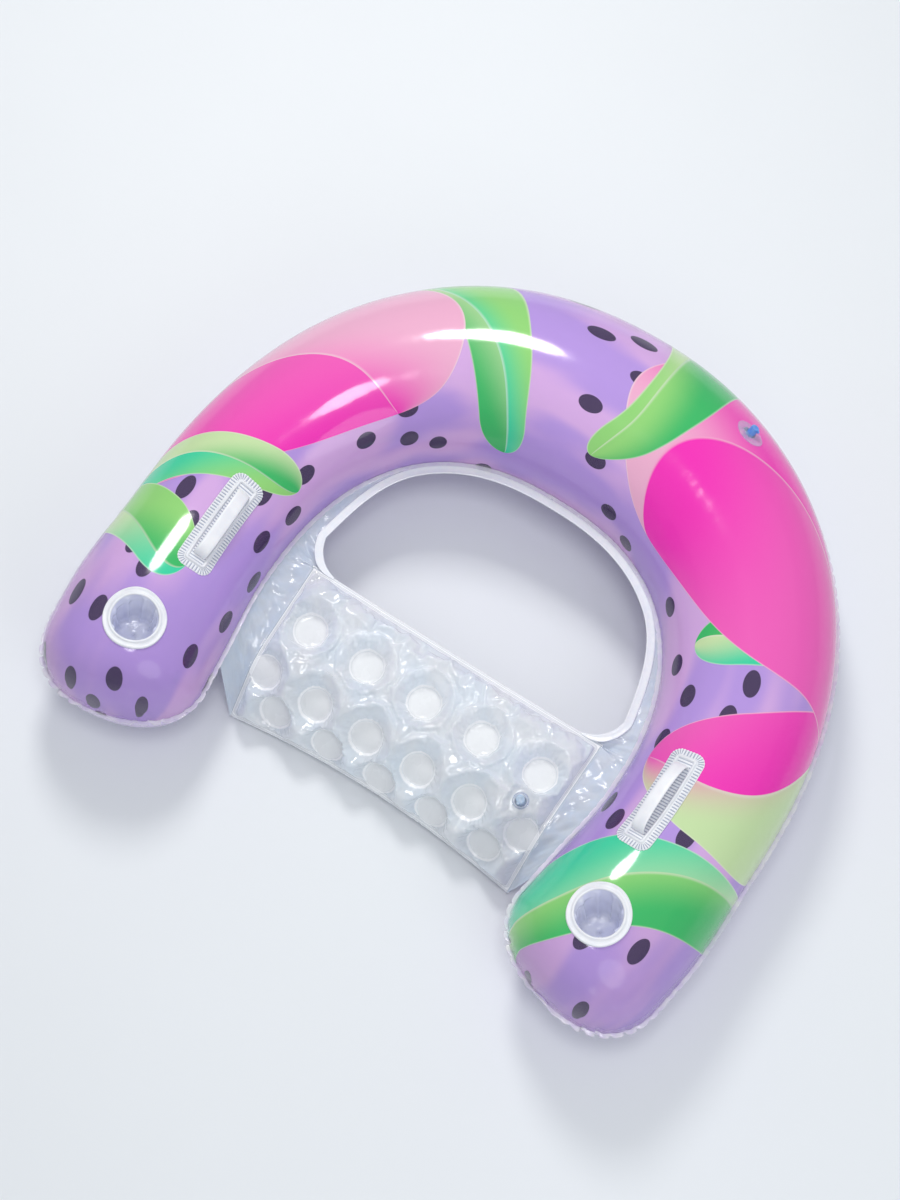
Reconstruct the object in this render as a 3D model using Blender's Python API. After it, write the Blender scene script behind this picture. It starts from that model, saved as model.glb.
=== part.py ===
"""Floating water hammock: a U-shaped inflatable tube with a quilted sling seat.

Units are metres. +X runs across the float, +Y from the arm ends to the arch at the back,
+Z up. The origin is under the middle of the float, on the surface it rests on.
"""

import math

import bmesh
import bpy
from mathutils import Matrix, Vector
from mathutils.geometry import delaunay_2d_cdt

# Centreline of the tube in plan
ARM_SPREAD = 0.951          # between the two arms' centrelines at their widest
ARM_LENGTH = 0.381          # from the arm tips back to the widest place
ARM_BOW = 1.54              # radius of the arms' gentle inward curve
ARCH_DEPTH = 0.515          # from the widest place to the back of the arch
ARCH_FULLNESS = 2.25        # exponent of the arch, where 2 is an ellipse

# Tube section
TUBE_R_FRONT = 0.1415       # radius round the cup holders
TUBE_R_SIDE = 0.1325        # radius at the waist beside the handles
TUBE_R_BACK = 0.168         # radius at the middle of the arch
WAIST_FROM = 0.17           # distance from the arm tip where the tube starts to narrow
WAIST_AT = 0.36             # distance from the arm tip of the waist
END_LENGTH = 0.110          # length of the rounded arm end
END_FULLNESS = 2.3          # exponent of the rounded arm end
SEAM_WIDTH = 0.007          # welded edge that stands out round the tube
FLOOR_SINK = 0.0018         # how far the soft tube flattens on the surface below

# Vinyl and welds
WALL = 0.0005               # vinyl sheet
GAP = 0.0003                # between pieces that are welded or pressed together

# Sling seat
SEAT_REAR_Y = 0.415         # from the arm tips to the seat's rear hem
SEAT_HALF_REAR = 0.290      # half width at the rear hem
SEAT_TAPER = 0.007          # how much narrower each half is at the front corners
SEAT_LENGTH = 0.285         # along the sling, at the middle
SEAT_FRONT_BOW = 0.028      # how much longer the seat's sides are than its middle
SEAT_REAR_DROP = 0.010      # rear hem below the tube's seam
SEAT_SAG = 0.006            # middle of the sling below its sides
SEAT_SLOPE_REAR = math.radians(4)
SEAT_SLOPE_FRONT = math.radians(48)
SEAT_BEND_FROM = 0.150      # along the sling, where the front starts to bend down
SEAT_BEND_R = 0.090
SEAT_CROWN = 0.026          # half of the pad's thickness between its welds
HEM = 0.011
HEM_RISE = 0.042            # distance from the hem to the full crown
# Rows of weld spots: distance along the sling, spots in the row, distance between them
DIMPLE_ROWS = ((0.099, 5, 0.114), (0.199, 6, 0.102), (0.251, 5, 0.104))
DIMPLE_R = 0.020            # flat weld spot
DIMPLE_RISE = 0.030         # distance from the spot's edge to the full crown
SKIRT_CLEAR = 0.0008        # between the skirt's edge and the seat's hem
HOLE_HALF = 0.298           # half width of the D-shaped opening at its corners
HOLE_CORNER_R = 0.058
RIM_WIDTH = 0.0205          # from the tube's seam to the opening at the back of the arch
RIM_BAND = 0.0095           # band welded along the opening's edge
RIM_THICK = 0.0012
RIM_START = 0.2             # turn round the opening's corner at which the band starts, in radians
RIM_FULL = 1.0              # turn at which the band has its full width

# Cup holders
CUP_ALONG = 0.133           # from the arm tip, along the tube
CUP_TURN = math.radians(6.5)     # towards the seat from the top of the tube
CUP_MOUTH_R = 0.039
CUP_FLOOR_R = 0.031
CUP_DEPTH = 0.100
CUP_LIP = 0.008             # flat edge of the well under the ring
CUP_CLEAR = 0.0010          # between the well and the hole it hangs through
CUP_FOLDS = 8
CUP_FOLD_DEPTH = 0.0022
RING_R = 0.052
RING_HEIGHT = 0.0038

# Grab handles
HANDLE_ALONG = 0.352        # from the arm tip, along the tube
HANDLE_TURN = math.radians(22)   # towards the seat from the top of the tube
HANDLE_LENGTH = 0.196
HANDLE_WIDTH = 0.062
HANDLE_CORNER_R = 0.019
HANDLE_EDGE = 0.0013        # thickness of the welded flange
HANDLE_RIM = 0.0125         # width of the welded flange
HANDLE_BOSS = 0.0055        # height of the raised frame inside the flange
HANDLE_FLOOR = 0.0022
STRAP_WIDTH = 0.019
STRAP_THICK = 0.0042
STRAP_SPAN = 0.136
STRAP_RISE = 0.024          # underside of the strap above the handle's floor

# Valves
TUBE_VALVE_X = 0.19         # across the float
TUBE_VALVE_TURN = math.radians(-36)  # outwards from the top of the tube
TUBE_VALVE_R = 0.022
SEAT_VALVE_X = 0.226
SEAT_VALVE_V = 0.155        # along the sling
SEAT_VALVE_R = 0.0145
SEAT_VALVE_LAND = 0.003     # flat land of sheet round the seat valve's base
COLLAR_R = 0.0095
COLLAR_TOP = 0.0032
COLLAR_DEPTH = 0.009
STEM_R = 0.0073
STEM_BORE_R = 0.0046
STEM_TOP = 0.0136
STEM_FOOT_R = 0.0090
STEM_FOOT = 0.0012
STEM_TRAVEL = 0.0085
PLUG_LENGTH = 0.0050
PLUG_TAPER = 0.0009
CAP_THICK = 0.0016
TETHER_REACH = 0.0100       # hinge line of the cap's tether from the valve's axis
TETHER_WIDTH = 0.0044
FLAP_R = 0.0058
FLAP_THICK = 0.0006
FLAP_REACH = 0.0064         # hinge line of the check flap from the valve's axis

# Facets
ARCH_STEPS = 20
END_TURNS = (0, 20, 38, 53, 66, 77, 85)   # degrees round the arm end's outline
FILL_PITCH = 0.026          # points of the seat sheets between the welds
RING_STEPS = 32
WELL_STEPS = 24
VALVE_STEPS = 20

Z_AXIS = Vector((0.0, 0.0, 1.0))
SEAM_LIFT_OUTER = GAP / 2
SEAM_LIFT_INNER = WALL / 2 + GAP


def clear_scene():
    for thing in list(bpy.data.objects):
        bpy.data.objects.remove(thing, do_unlink=True)


def material(name, colour, roughness, alpha=1.0):
    mat = bpy.data.materials.new(name)
    mat.use_nodes = True
    shader = mat.node_tree.nodes["Principled BSDF"]
    shader.inputs["Base Color"].default_value = (*colour, 1.0)
    shader.inputs["Roughness"].default_value = roughness
    shader.inputs["Metallic"].default_value = 0.0
    shader.inputs["Alpha"].default_value = alpha
    mat.diffuse_color = (*colour, alpha)
    return mat


def add_object(name, verts, faces, mat, frame=None, sharp=35):
    """Makes an object from world points, with its origin and axes at the frame."""
    frame = frame or Matrix.Identity(4)
    inverse = frame.inverted()
    mesh = bpy.data.meshes.new(name)
    bm = bmesh.new()
    made = [bm.verts.new(inverse @ Vector(v)) for v in verts]
    for face in faces:
        bm.faces.new([made[i] for i in face])
    bmesh.ops.recalc_face_normals(bm, faces=bm.faces)
    bm.to_mesh(mesh)
    bm.free()
    mesh.shade_smooth()
    mesh.set_sharp_from_angle(angle=math.radians(sharp))
    mesh.materials.append(mat)
    thing = bpy.data.objects.new(name, mesh)
    thing.matrix_world = frame
    bpy.context.scene.collection.objects.link(thing)
    return thing


def smooth(t):
    t = min(max(t, 0.0), 1.0)
    return 0.5 - 0.5 * math.cos(math.pi * t)


def spread(start, end, steps):
    return [start + (end - start) * i / steps for i in range(steps)]


# Tube centreline

def centreline():
    """Points of the right half, from the arm tip to the middle of the arch."""
    half = ARM_SPREAD / 2
    points = []
    for i in range(200):
        back = ARM_LENGTH * (1 - i / 200)
        points.append((half - back * back / (2 * ARM_BOW), ARM_LENGTH - back))
    for i in range(2001):
        turn = math.pi / 2 * i / 2000
        across = max(math.cos(turn), 0.0) ** (2 / ARCH_FULLNESS)
        depth = math.sin(turn) ** (2 / ARCH_FULLNESS)
        points.append((half * across, ARM_LENGTH + ARCH_DEPTH * depth))
    lengths = [0.0]
    for (x0, y0), (x1, y1) in zip(points, points[1:]):
        lengths.append(lengths[-1] + math.hypot(x1 - x0, y1 - y0))
    return points, lengths


PLAN, PLAN_S = centreline()
HALF_LENGTH = PLAN_S[-1]
MID_Y = (ARM_LENGTH + ARCH_DEPTH + TUBE_R_BACK) / 2


def plan_point(s):
    """Plan position at a distance from the arm tip, with the float centred on Y."""
    low, high = 0, len(PLAN_S) - 1
    while high - low > 1:
        middle = (low + high) // 2
        if PLAN_S[middle] <= s:
            low = middle
        else:
            high = middle
    t = (s - PLAN_S[low]) / (PLAN_S[high] - PLAN_S[low])
    x = PLAN[low][0] + (PLAN[high][0] - PLAN[low][0]) * t
    y = PLAN[low][1] + (PLAN[high][1] - PLAN[low][1]) * t
    return Vector((x, y - MID_Y, 0.0))


def tube_radius(s):
    front = smooth((s - WAIST_FROM) / (WAIST_AT - WAIST_FROM))
    back = smooth((s - WAIST_AT) / (HALF_LENGTH - WAIST_AT))
    return TUBE_R_FRONT + (TUBE_R_SIDE - TUBE_R_FRONT) * front + (TUBE_R_BACK - TUBE_R_SIDE) * back


class Station:
    """One cross-section of the tube on the right half."""

    def __init__(self, s):
        step = 0.002
        before = plan_point(max(s - step, 0.0))
        after = plan_point(min(s + step, HALF_LENGTH))
        self.s = s
        self.centre = plan_point(s)
        along = (after - before).normalized()
        if s > HALF_LENGTH - step:
            along = Vector((-1.0, 0.0, 0.0))
        self.along = along
        self.out = Vector((along.y, -along.x, 0.0))
        self.radius = tube_radius(s)
        self.level = self.radius - FLOOR_SINK
        back = max(1 - s / END_LENGTH, 0.0)
        self.end = max(1 - back ** END_FULLNESS, 0.0) ** (1 / END_FULLNESS)
        self.taper = back

    def point(self, angle, rise=0.0, inside=False):
        """Point of the upper panel: the angle runs from the outer seam over the top."""
        wall = WALL if inside else 0.0
        lift = SEAM_LIFT_OUTER + (SEAM_LIFT_INNER - SEAM_LIFT_OUTER) * (1 - math.cos(angle)) / 2
        radius = self.radius * self.end
        side = max(radius - wall, 0.0) + rise
        height = max(radius - WALL, 0.0) + rise
        place = self.centre + self.out * (side * math.cos(angle))
        place += self.along * (wall * self.taper)
        place.z = self.level + lift + WALL - wall + height * math.sin(angle)
        return place


def stations():
    found = []
    for turn in END_TURNS:
        found.append(END_LENGTH * (1 - math.cos(math.radians(turn)) ** (2 / END_FULLNESS)))
    found += spread(END_LENGTH, HALF_LENGTH, ARCH_STEPS)
    found.append(HALF_LENGTH)
    return [Station(s) for s in found]


STATIONS = stations()


def tube_point(s, angle, rise, side):
    """Point over the smooth surface of the tube."""
    place = Station(s).point(angle, rise)
    place.x *= side
    return place


def station_past(s):
    """Index of the first cross-section past a distance from the arm tip."""
    index = 0
    while index < len(STATIONS) - 1 and STATIONS[index].s < s:
        index += 1
    return index


def facet_point(s, angle, rise):
    """Point over the panels' facets on the right half, and the level of the seam there."""
    index = min(max(station_past(s), 1), len(STATIONS) - 1)
    low, high = STATIONS[index - 1], STATIONS[index]
    t = (s - low.s) / (high.s - low.s)
    level = low.level + (high.level - low.level) * t
    return low.point(angle, rise).lerp(high.point(angle, rise), t), level


def seam_point(s, reach):
    """Middle of the welded inner seam's gap, at a distance off the tube."""
    place, level = facet_point(s, math.pi, reach)
    place.z = level
    return place


# Tube panels

UPPER_ANGLES = [math.radians(a) for a in spread(0, 38, 2) + spread(38, 62, 3) + spread(62, 75, 1)
                + spread(75, 127.5, 7) + spread(127.5, 180, 3) + [180]]
LOWER_ANGLES = [math.radians(a) for a in spread(0, 82, 5) + spread(82, 98, 1) + spread(98, 180, 5)
                + [180]]


def mirrored(place):
    return Vector((-place.x, place.y, place.z))


def below(place, level, inside):
    """Turns a point of the upper panel into the lower panel's, flat where it rests."""
    z = 2 * level - place.z
    return Vector((place.x, place.y, max(z, WALL if inside else 0.0)))


def panel_sections(angles, inside, lower):
    """Rows of points over the tube, from the right arm tip round to the left one."""
    right = []
    for station in STATIONS:
        row = [station.point(angle, inside=inside) for angle in angles]
        if lower:
            row = [below(p, station.level, inside) for p in row]
        right.append(row)
    left = [[mirrored(p) for p in row] for row in right[:-1]]
    return right + left[::-1]


def seam_loop(rows):
    """The panel's edge as one loop: right tip, outer side, left tip, inner side."""
    last = len(rows) - 1
    loop = [(0, 0)]
    loop += [(i, 0) for i in range(1, last)]
    loop += [(last, 0)]
    loop += [(i, -1) for i in range(last - 1, 0, -1)]
    return loop


def loop_outward(points):
    """Outward plan direction at each point of a loop that runs anticlockwise."""
    count = len(points)
    found = []
    for i in range(count):
        run = points[(i + 1) % count] - points[i - 1]
        found.append(Vector((run.y, -run.x, 0.0)).normalized())
    return found


def tube_panel(name, angles, lower, mat):
    verts, faces = [], []
    grids = []
    for inside in (False, True):
        rows = panel_sections(angles, inside, lower)
        last = len(rows) - 1
        index = []
        for i, row in enumerate(rows):
            if i in (0, last):
                verts.append(row[0])
                index.append([len(verts) - 1] * len(row))
                continue
            index.append(list(range(len(verts), len(verts) + len(row))))
            verts.extend(row)
        for i in range(last):
            for j in range(len(angles) - 1):
                corners = [index[i][j], index[i + 1][j], index[i + 1][j + 1], index[i][j + 1]]
                faces.append(tuple(dict.fromkeys(corners)))
        loop = seam_loop(rows)
        grids.append([index[i][j] for i, j in loop])
    outside, inside = grids
    edge_points = [Vector(verts[i]) for i in outside]
    directions = loop_outward(edge_points)
    edge_outside, edge_inside = [], []
    for i, (point, direction) in enumerate(zip(edge_points, directions)):
        far = point + direction * SEAM_WIDTH
        edge_outside.append(len(verts))
        verts.append(Vector((far.x, far.y, point.z)))
        edge_inside.append(len(verts))
        verts.append(Vector((far.x, far.y, verts[inside[i]].z)))
    count = len(outside)
    for i in range(count):
        j = (i + 1) % count
        faces.append((outside[i], outside[j], edge_outside[j], edge_outside[i]))
        faces.append((edge_outside[i], edge_outside[j], edge_inside[j], edge_inside[i]))
        faces.append((edge_inside[i], edge_inside[j], inside[j], inside[i]))
    return add_object(name, verts, faces, mat)


def cutter(name, frame, radius, depth):
    """A drill through a panel, along the frame's Z axis."""
    bm = bmesh.new()
    bmesh.ops.create_cone(bm, cap_ends=True, segments=RING_STEPS, radius1=radius, radius2=radius,
                          depth=depth)
    mesh = bpy.data.meshes.new(name)
    bm.to_mesh(mesh)
    bm.free()
    thing = bpy.data.objects.new(name, mesh)
    thing.matrix_world = frame
    thing.hide_render = True
    thing.display_type = "WIRE"
    bpy.context.scene.collection.objects.link(thing)
    return thing


def cut(thing, tool):
    step = thing.modifiers.new(tool.name, "BOOLEAN")
    step.operation = "DIFFERENCE"
    step.solver = "EXACT"
    step.object = tool


# Fittings on the tube

class Seat:
    """A place on the tube where a fitting sits: a along the tube, b towards the seat."""

    def __init__(self, s, turn, side, on_facets=False):
        self.s = s
        self.on_facets = on_facets
        self.angle = math.pi / 2 + turn
        self.side = side
        self.radius = tube_radius(s)
        step = 0.004
        self.origin = tube_point(s, self.angle, 0.0, side)
        along = tube_point(s + step, self.angle, 0.0, side) - self.origin
        across = tube_point(s, self.angle + step, 0.0, side) - self.origin
        self.along = along.normalized()
        self.up = (self.along.cross(across) * side).normalized()
        self.across = (self.up.cross(self.along) * side).normalized()
        third = self.up.cross(self.along)
        self.frame = Matrix((self.along, third, self.up)).transposed().to_4x4()
        self.frame.translation = self.origin

    def rigid(self, a, b, h):
        return self.origin + self.along * a + self.across * b + self.up * h

    def draped(self, a, b, h):
        angle = self.angle + b / self.radius
        if not self.on_facets:
            return tube_point(self.s + a, angle, h, self.side)
        place = facet_point(self.s + a, angle, h)[0]
        place.x *= self.side
        return place

    def eased(self, a, b, h, hold):
        """Between the rigid place, where hold is 0, and the tube's curve, where it is 1."""
        return self.rigid(a, b, h).lerp(self.draped(a, b, h), hold)


def turned(profile, steps, place):
    """Turns a closed profile of (radius, height) round the axis; place maps it to points."""
    verts, faces, rings = [], [], []
    for radius, height in profile:
        if radius == 0.0:
            rings.append([len(verts)] * steps)
            verts.append(place(0.0, 0.0, height))
            continue
        rings.append(list(range(len(verts), len(verts) + steps)))
        for k in range(steps):
            turn = 2 * math.pi * k / steps
            verts.append(place(radius, turn, height))
    for i, ring in enumerate(rings):
        following = rings[(i + 1) % len(rings)]
        if len(set(ring)) == 1 and len(set(following)) == 1:
            continue
        for k in range(steps):
            m = (k + 1) % steps
            corners = [ring[k], ring[m], following[m], following[k]]
            faces.append(tuple(dict.fromkeys(corners)))
    return verts, faces


def cup_ring(name, seat, mat):
    """Moulded ring with a raised lip at its outer and inner edge, over the well's lip."""
    top = RING_HEIGHT
    lip_top = GAP + WALL
    mouth = CUP_MOUTH_R
    cover = mouth + CUP_LIP + GAP
    profile = [
        (RING_R, GAP), (RING_R, 0.60 * top), (RING_R - 0.0014, 0.84 * top),
        (RING_R - 0.0034, 0.84 * top), (RING_R - 0.0046, 0.58 * top),
        (mouth + 0.0048, 0.58 * top), (mouth + 0.0032, 0.95 * top), (mouth + 0.0014, top),
        (mouth, 0.80 * top), (mouth, lip_top + GAP), (cover, lip_top + GAP), (cover, GAP),
    ]

    def place(radius, turn, height):
        return seat.draped(radius * math.cos(turn), radius * math.sin(turn), height)

    verts, faces = turned(profile, RING_STEPS, place)
    return add_object(name, verts, faces, mat, seat.frame)


def cup_well(name, seat, mat):
    """Soft cup that hangs in the tube, with folds that deepen towards its floor."""
    fall = [0.0, 0.10, 0.35, 0.70, 0.93, 1.0]
    inner = []
    for f in fall:
        round_in = 0.0 if f < 0.9 else 0.004 * (f - 0.9) / 0.1
        inner.append((CUP_MOUTH_R + (CUP_FLOOR_R - CUP_MOUTH_R) * f - round_in, -CUP_DEPTH * f))
    outer = [(r + WALL, h - (WALL if h < -0.9 * CUP_DEPTH else 0.0)) for r, h in inner[1:]]
    under = GAP
    profile = [(0.0, -CUP_DEPTH)]
    profile += [(r, h) for r, h in inner[:0:-1]]
    profile += [(CUP_MOUTH_R, under + WALL), (CUP_MOUTH_R + CUP_LIP, under + WALL),
                (CUP_MOUTH_R + CUP_LIP, under), (CUP_MOUTH_R + WALL, under)]
    profile += outer
    profile.append((0.0, -CUP_DEPTH - WALL))

    def place(radius, turn, height):
        depth = min(max(-height / CUP_DEPTH, 0.0), 1.0)
        if radius:
            radius -= CUP_FOLD_DEPTH * math.sqrt(depth) * (0.5 + 0.5 * math.cos(CUP_FOLDS * turn))
        hold = 1.0 - smooth(depth / 0.35)
        return seat.eased(radius * math.cos(turn), radius * math.sin(turn), height, hold)

    verts, faces = turned(profile, WELL_STEPS, place)
    return add_object(name, verts, faces, mat, seat.frame)


def rounded_loop(inset):
    """Points round the handle's outline, inset, starting at the middle of the +a end."""
    half_a = HANDLE_LENGTH / 2 - inset
    half_b = HANDLE_WIDTH / 2 - inset
    radius = max(min(HANDLE_CORNER_R - inset * 0.55, half_b * 0.98), 0.0006)
    quarter = [(half_a, 0.0)]
    for k in range(5):
        turn = math.pi / 2 * k / 4
        quarter.append((half_a - radius + radius * math.cos(turn),
                        half_b - radius + radius * math.sin(turn)))
    run = half_a - radius
    quarter += [(run * f, half_b) for f in (0.66, 0.33)]
    top = quarter + [(0.0, half_b)]
    left = [(-a, b) for a, b in quarter[::-1]]
    upper = top + left
    lower = [(a, -b) for a, b in upper[-2:0:-1]]
    return upper + lower


def handle_base(seat):
    """Flange, raised frame and floor of the handle, as one closed skin over the tube."""
    rim = HANDLE_RIM
    half = HANDLE_WIDTH / 2
    top = [(0.0, HANDLE_EDGE), (rim, HANDLE_EDGE + 0.0006), (rim + 0.0012, HANDLE_BOSS),
           (rim + 0.0032, HANDLE_BOSS), (rim + 0.0050, HANDLE_FLOOR), (half - 0.002, HANDLE_FLOOR)]
    bottom = [(0.0, GAP), (rim, GAP), ((rim + half) / 2, GAP), (half - 0.002, GAP)]
    verts, faces = [], []

    def add_loops(levels):
        loops = []
        for inset, height in levels:
            points = rounded_loop(inset)
            loops.append(list(range(len(verts), len(verts) + len(points))))
            verts.extend(seat.draped(a, b, height) for a, b in points)
        count = len(loops[0])
        for low, high in zip(loops, loops[1:]):
            for k in range(count):
                m = (k + 1) % count
                faces.append((low[k], low[m], high[m], high[k]))
        last = loops[-1]
        half_count = count // 2
        faces.append((last[0], last[1], last[-1]))
        for k in range(1, half_count - 1):
            faces.append((last[k], last[k + 1], last[-k - 1], last[-k]))
        faces.append((last[half_count - 1], last[half_count], last[half_count + 1]))
        return loops[0]

    first_top = add_loops(top)
    first_bottom = add_loops(bottom)
    count = len(first_top)
    for k in range(count):
        m = (k + 1) % count
        faces.append((first_top[k], first_top[m], first_bottom[m], first_bottom[k]))
    return verts, faces


def strap(seat):
    """Bowed grip strap with rounded edges, both ends rooted in the handle's floor."""
    steps = 14
    half_w = STRAP_WIDTH / 2
    half_t = STRAP_THICK / 2
    section = [(-half_w, -0.3 * half_t), (-0.72 * half_w, -half_t), (0.72 * half_w, -half_t),
               (half_w, -0.3 * half_t), (half_w, 0.3 * half_t), (0.72 * half_w, half_t),
               (-0.72 * half_w, half_t), (-half_w, 0.3 * half_t)]
    root = GAP + 0.0006 + half_t
    rise = HANDLE_FLOOR + STRAP_RISE + half_t - root
    verts, faces = [], []
    for i in range(steps + 1):
        t = i / steps
        a = -STRAP_SPAN / 2 * math.cos(math.pi * t)
        lift = math.sin(math.pi * t) ** 0.85
        height = root + rise * lift
        spread_out = 1.0 + 0.12 * (1 - lift)
        lean = math.pi / 2 - math.pi * t
        lean = 0.95 * math.copysign(abs(lean / (math.pi / 2)) ** 1.5, lean)
        for b, up in section:
            place = (a - up * math.sin(lean), b * spread_out, height + up * math.cos(lean))
            verts.append(seat.draped(*place))
    count = len(section)
    for i in range(steps):
        for k in range(count):
            m = (k + 1) % count
            low, high = i * count, (i + 1) * count
            faces.append((low + k, low + m, high + m, high + k))
    faces.append(tuple(range(count)))
    faces.append(tuple(range(steps * count, (steps + 1) * count)))
    return verts, faces


def grab_handle(name, seat, mat):
    verts, faces = handle_base(seat)
    base = add_object(name, verts, faces, mat, seat.frame)
    verts, faces = strap(seat)
    grip = add_object(name + "_strap_shape", verts, faces, mat, seat.frame)
    grip.hide_render = True
    grip.display_type = "WIRE"
    join = base.modifiers.new("strap", "BOOLEAN")
    join.operation = "UNION"
    join.solver = "EXACT"
    join.object = grip
    return base


# Sling seat

SEAT_LEVEL = TUBE_R_SIDE - FLOOR_SINK
SEAT_HALF_FRONT = SEAT_HALF_REAR - SEAT_TAPER


def sling_line(v):
    """Plan depth, drop and slope of the sling at a distance from its rear hem."""
    run = min(v, SEAT_BEND_FROM)
    y = SEAT_REAR_Y - run * math.cos(SEAT_SLOPE_REAR)
    z = -SEAT_REAR_DROP - run * math.sin(SEAT_SLOPE_REAR)
    slope = SEAT_SLOPE_REAR
    rest = v - run
    if rest > 0:
        turn = min(rest / SEAT_BEND_R, SEAT_SLOPE_FRONT - SEAT_SLOPE_REAR)
        slope = SEAT_SLOPE_REAR + turn
        y -= SEAT_BEND_R * (math.sin(slope) - math.sin(SEAT_SLOPE_REAR))
        z -= SEAT_BEND_R * (math.cos(SEAT_SLOPE_REAR) - math.cos(slope))
        straight = rest - turn * SEAT_BEND_R
        y -= straight * math.cos(slope)
        z -= straight * math.sin(slope)
    return y - MID_Y, z, slope


def seat_point(x, v, h):
    """Point of the sling: x across, v along it from the rear hem, h above its middle."""
    y, z, slope = sling_line(v)
    half = seat_half(v)
    sag = SEAT_SAG * max(1 - (x / half) ** 2, 0.0)
    return Vector((x, y - h * math.sin(slope), SEAT_LEVEL + z - sag + h * math.cos(slope)))


def seat_front(x):
    return SEAT_LENGTH + SEAT_FRONT_BOW * (x / SEAT_HALF_FRONT) ** 2


SEAT_SIDE_LENGTH = seat_front(SEAT_HALF_FRONT)


def seat_half(v):
    return SEAT_HALF_REAR + (SEAT_HALF_FRONT - SEAT_HALF_REAR) * v / SEAT_SIDE_LENGTH


def dimple_centres():
    found = []
    for v, count, pitch in DIMPLE_ROWS:
        for k in range(count):
            found.append(((k - (count - 1) / 2) * pitch, v))
    return found


DIMPLES = dimple_centres()


def bulge(distance, rise):
    q = min(max(distance / rise, 0.0), 1.0)
    return math.sqrt(1 - (1 - q) ** 2)


def crown(x, v, valve):
    """Half thickness of the pad at a place of the sling."""
    edge = min(seat_half(v) - abs(x), v, seat_front(x) - v)
    full = SEAT_CROWN * bulge(edge - HEM, HEM_RISE)
    for cx, cv in DIMPLES:
        full *= bulge(math.hypot(x - cx, v - cv) - DIMPLE_R, DIMPLE_RISE)
    if valve:
        land = SEAT_VALVE_R + SEAT_VALVE_LAND
        off = math.hypot(x - SEAT_VALVE_X, v - SEAT_VALVE_V) - land
        keep = smooth(off / 0.010)
        full = full * keep + seat_valve_rise() * (1 - keep)
    return full


def seat_valve_rise():
    return 0.80 * SEAT_CROWN


def seat_outline(steps_across, steps_along, inset=0.0):
    """Loop round the seat in (x, v), anticlockwise from the rear left corner."""
    loop = []
    back = inset
    side = SEAT_SIDE_LENGTH - inset
    for k in range(steps_across):
        half = seat_half(back) - inset
        loop.append((-half + 2 * half * k / steps_across, back))
    for k in range(steps_along):
        v = back + (side - back) * k / steps_along
        loop.append((seat_half(v) - inset, v))
    for k in range(steps_across):
        half = seat_half(side) - inset
        x = half - 2 * half * k / steps_across
        loop.append((x, seat_front(x * SEAT_HALF_FRONT / half) - inset))
    for k in range(steps_along):
        v = side - (side - back) * k / steps_along
        loop.append((-(seat_half(v) - inset), v))
    return loop


SKIRT_FRONT = station_past(SEAT_REAR_Y - SEAT_LENGTH + 0.02)
SKIRT_REAR = station_past(SEAT_REAR_Y - 0.05)
SIDE_STEPS = 2 * (SKIRT_REAR - SKIRT_FRONT) + 1


def seat_pattern(valve):
    """Points of the quilted sheet in (x, v): hem, rings round the welds, and fillers."""
    outline = seat_outline(12, SIDE_STEPS)
    points = list(outline) + seat_outline(12, SIDE_STEPS, HEM)
    spots = [(cx, cv, DIMPLE_R) for cx, cv in DIMPLES]
    if valve:
        spots.append((SEAT_VALVE_X, SEAT_VALVE_V, SEAT_VALVE_R + SEAT_VALVE_LAND))

    def is_free(x, v, room):
        clear = all(math.hypot(x - cx, v - cv) > radius + room for cx, cv, radius in spots)
        edge = min(seat_half(v) - abs(x), v, seat_front(x) - v)
        return clear and edge > HEM + 0.006

    for cx, cv, radius in spots:
        for ring, reach in enumerate((radius, radius + 0.011)):
            for k in range(8):
                turn = math.pi / 4 * (k + 0.5 * ring)
                x, v = cx + reach * math.cos(turn), cv + reach * math.sin(turn)
                others = [s for s in spots if s[:2] != (cx, cv)]
                near = any(math.hypot(x - ox, v - ov) < other + 0.006 for ox, ov, other in others)
                edge = min(seat_half(v) - abs(x), v, seat_front(x) - v)
                if edge > HEM + 0.002 and not near:
                    points.append((x, v))
    rows = int(SEAT_SIDE_LENGTH / FILL_PITCH)
    reach = int(SEAT_HALF_REAR / FILL_PITCH) + 1
    for i in range(1, rows):
        for k in range(-reach, reach + 1):
            x = (k + 0.5 * (i % 2)) * FILL_PITCH
            v = i * FILL_PITCH
            if abs(x) < seat_half(v) and is_free(x, v, 0.018):
                points.append((x, v))
    return points, len(outline)


def seat_sheet(name, up, mat):
    """One sheet of the seat pad; up is 1 for the upper sheet and -1 for the lower."""
    valve = up > 0
    points, edge_count = seat_pattern(valve)
    flat = [Vector(p) for p in points]
    found, _, triangles, _, _, _ = delaunay_2d_cdt(flat, [], [list(range(edge_count))], 1, 1e-6)
    verts, faces = [], []
    for level in (WALL, 0.0):
        for x, v in found:
            height = up * (GAP / 2 + crown(x, v, valve) + level)
            verts.append(seat_point(x, v, height))
    count = len(found)
    edges = {}
    for triangle in triangles:
        faces.append(tuple(triangle))
        faces.append(tuple(i + count for i in reversed(triangle)))
        for a, b in zip(triangle, list(triangle[1:]) + [triangle[0]]):
            edges[(a, b)] = True
    for a, b in edges:
        if (b, a) not in edges:
            faces.append((b, a, a + count, b + count))
    return add_object(name, verts, faces, mat, sharp=50)


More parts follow.
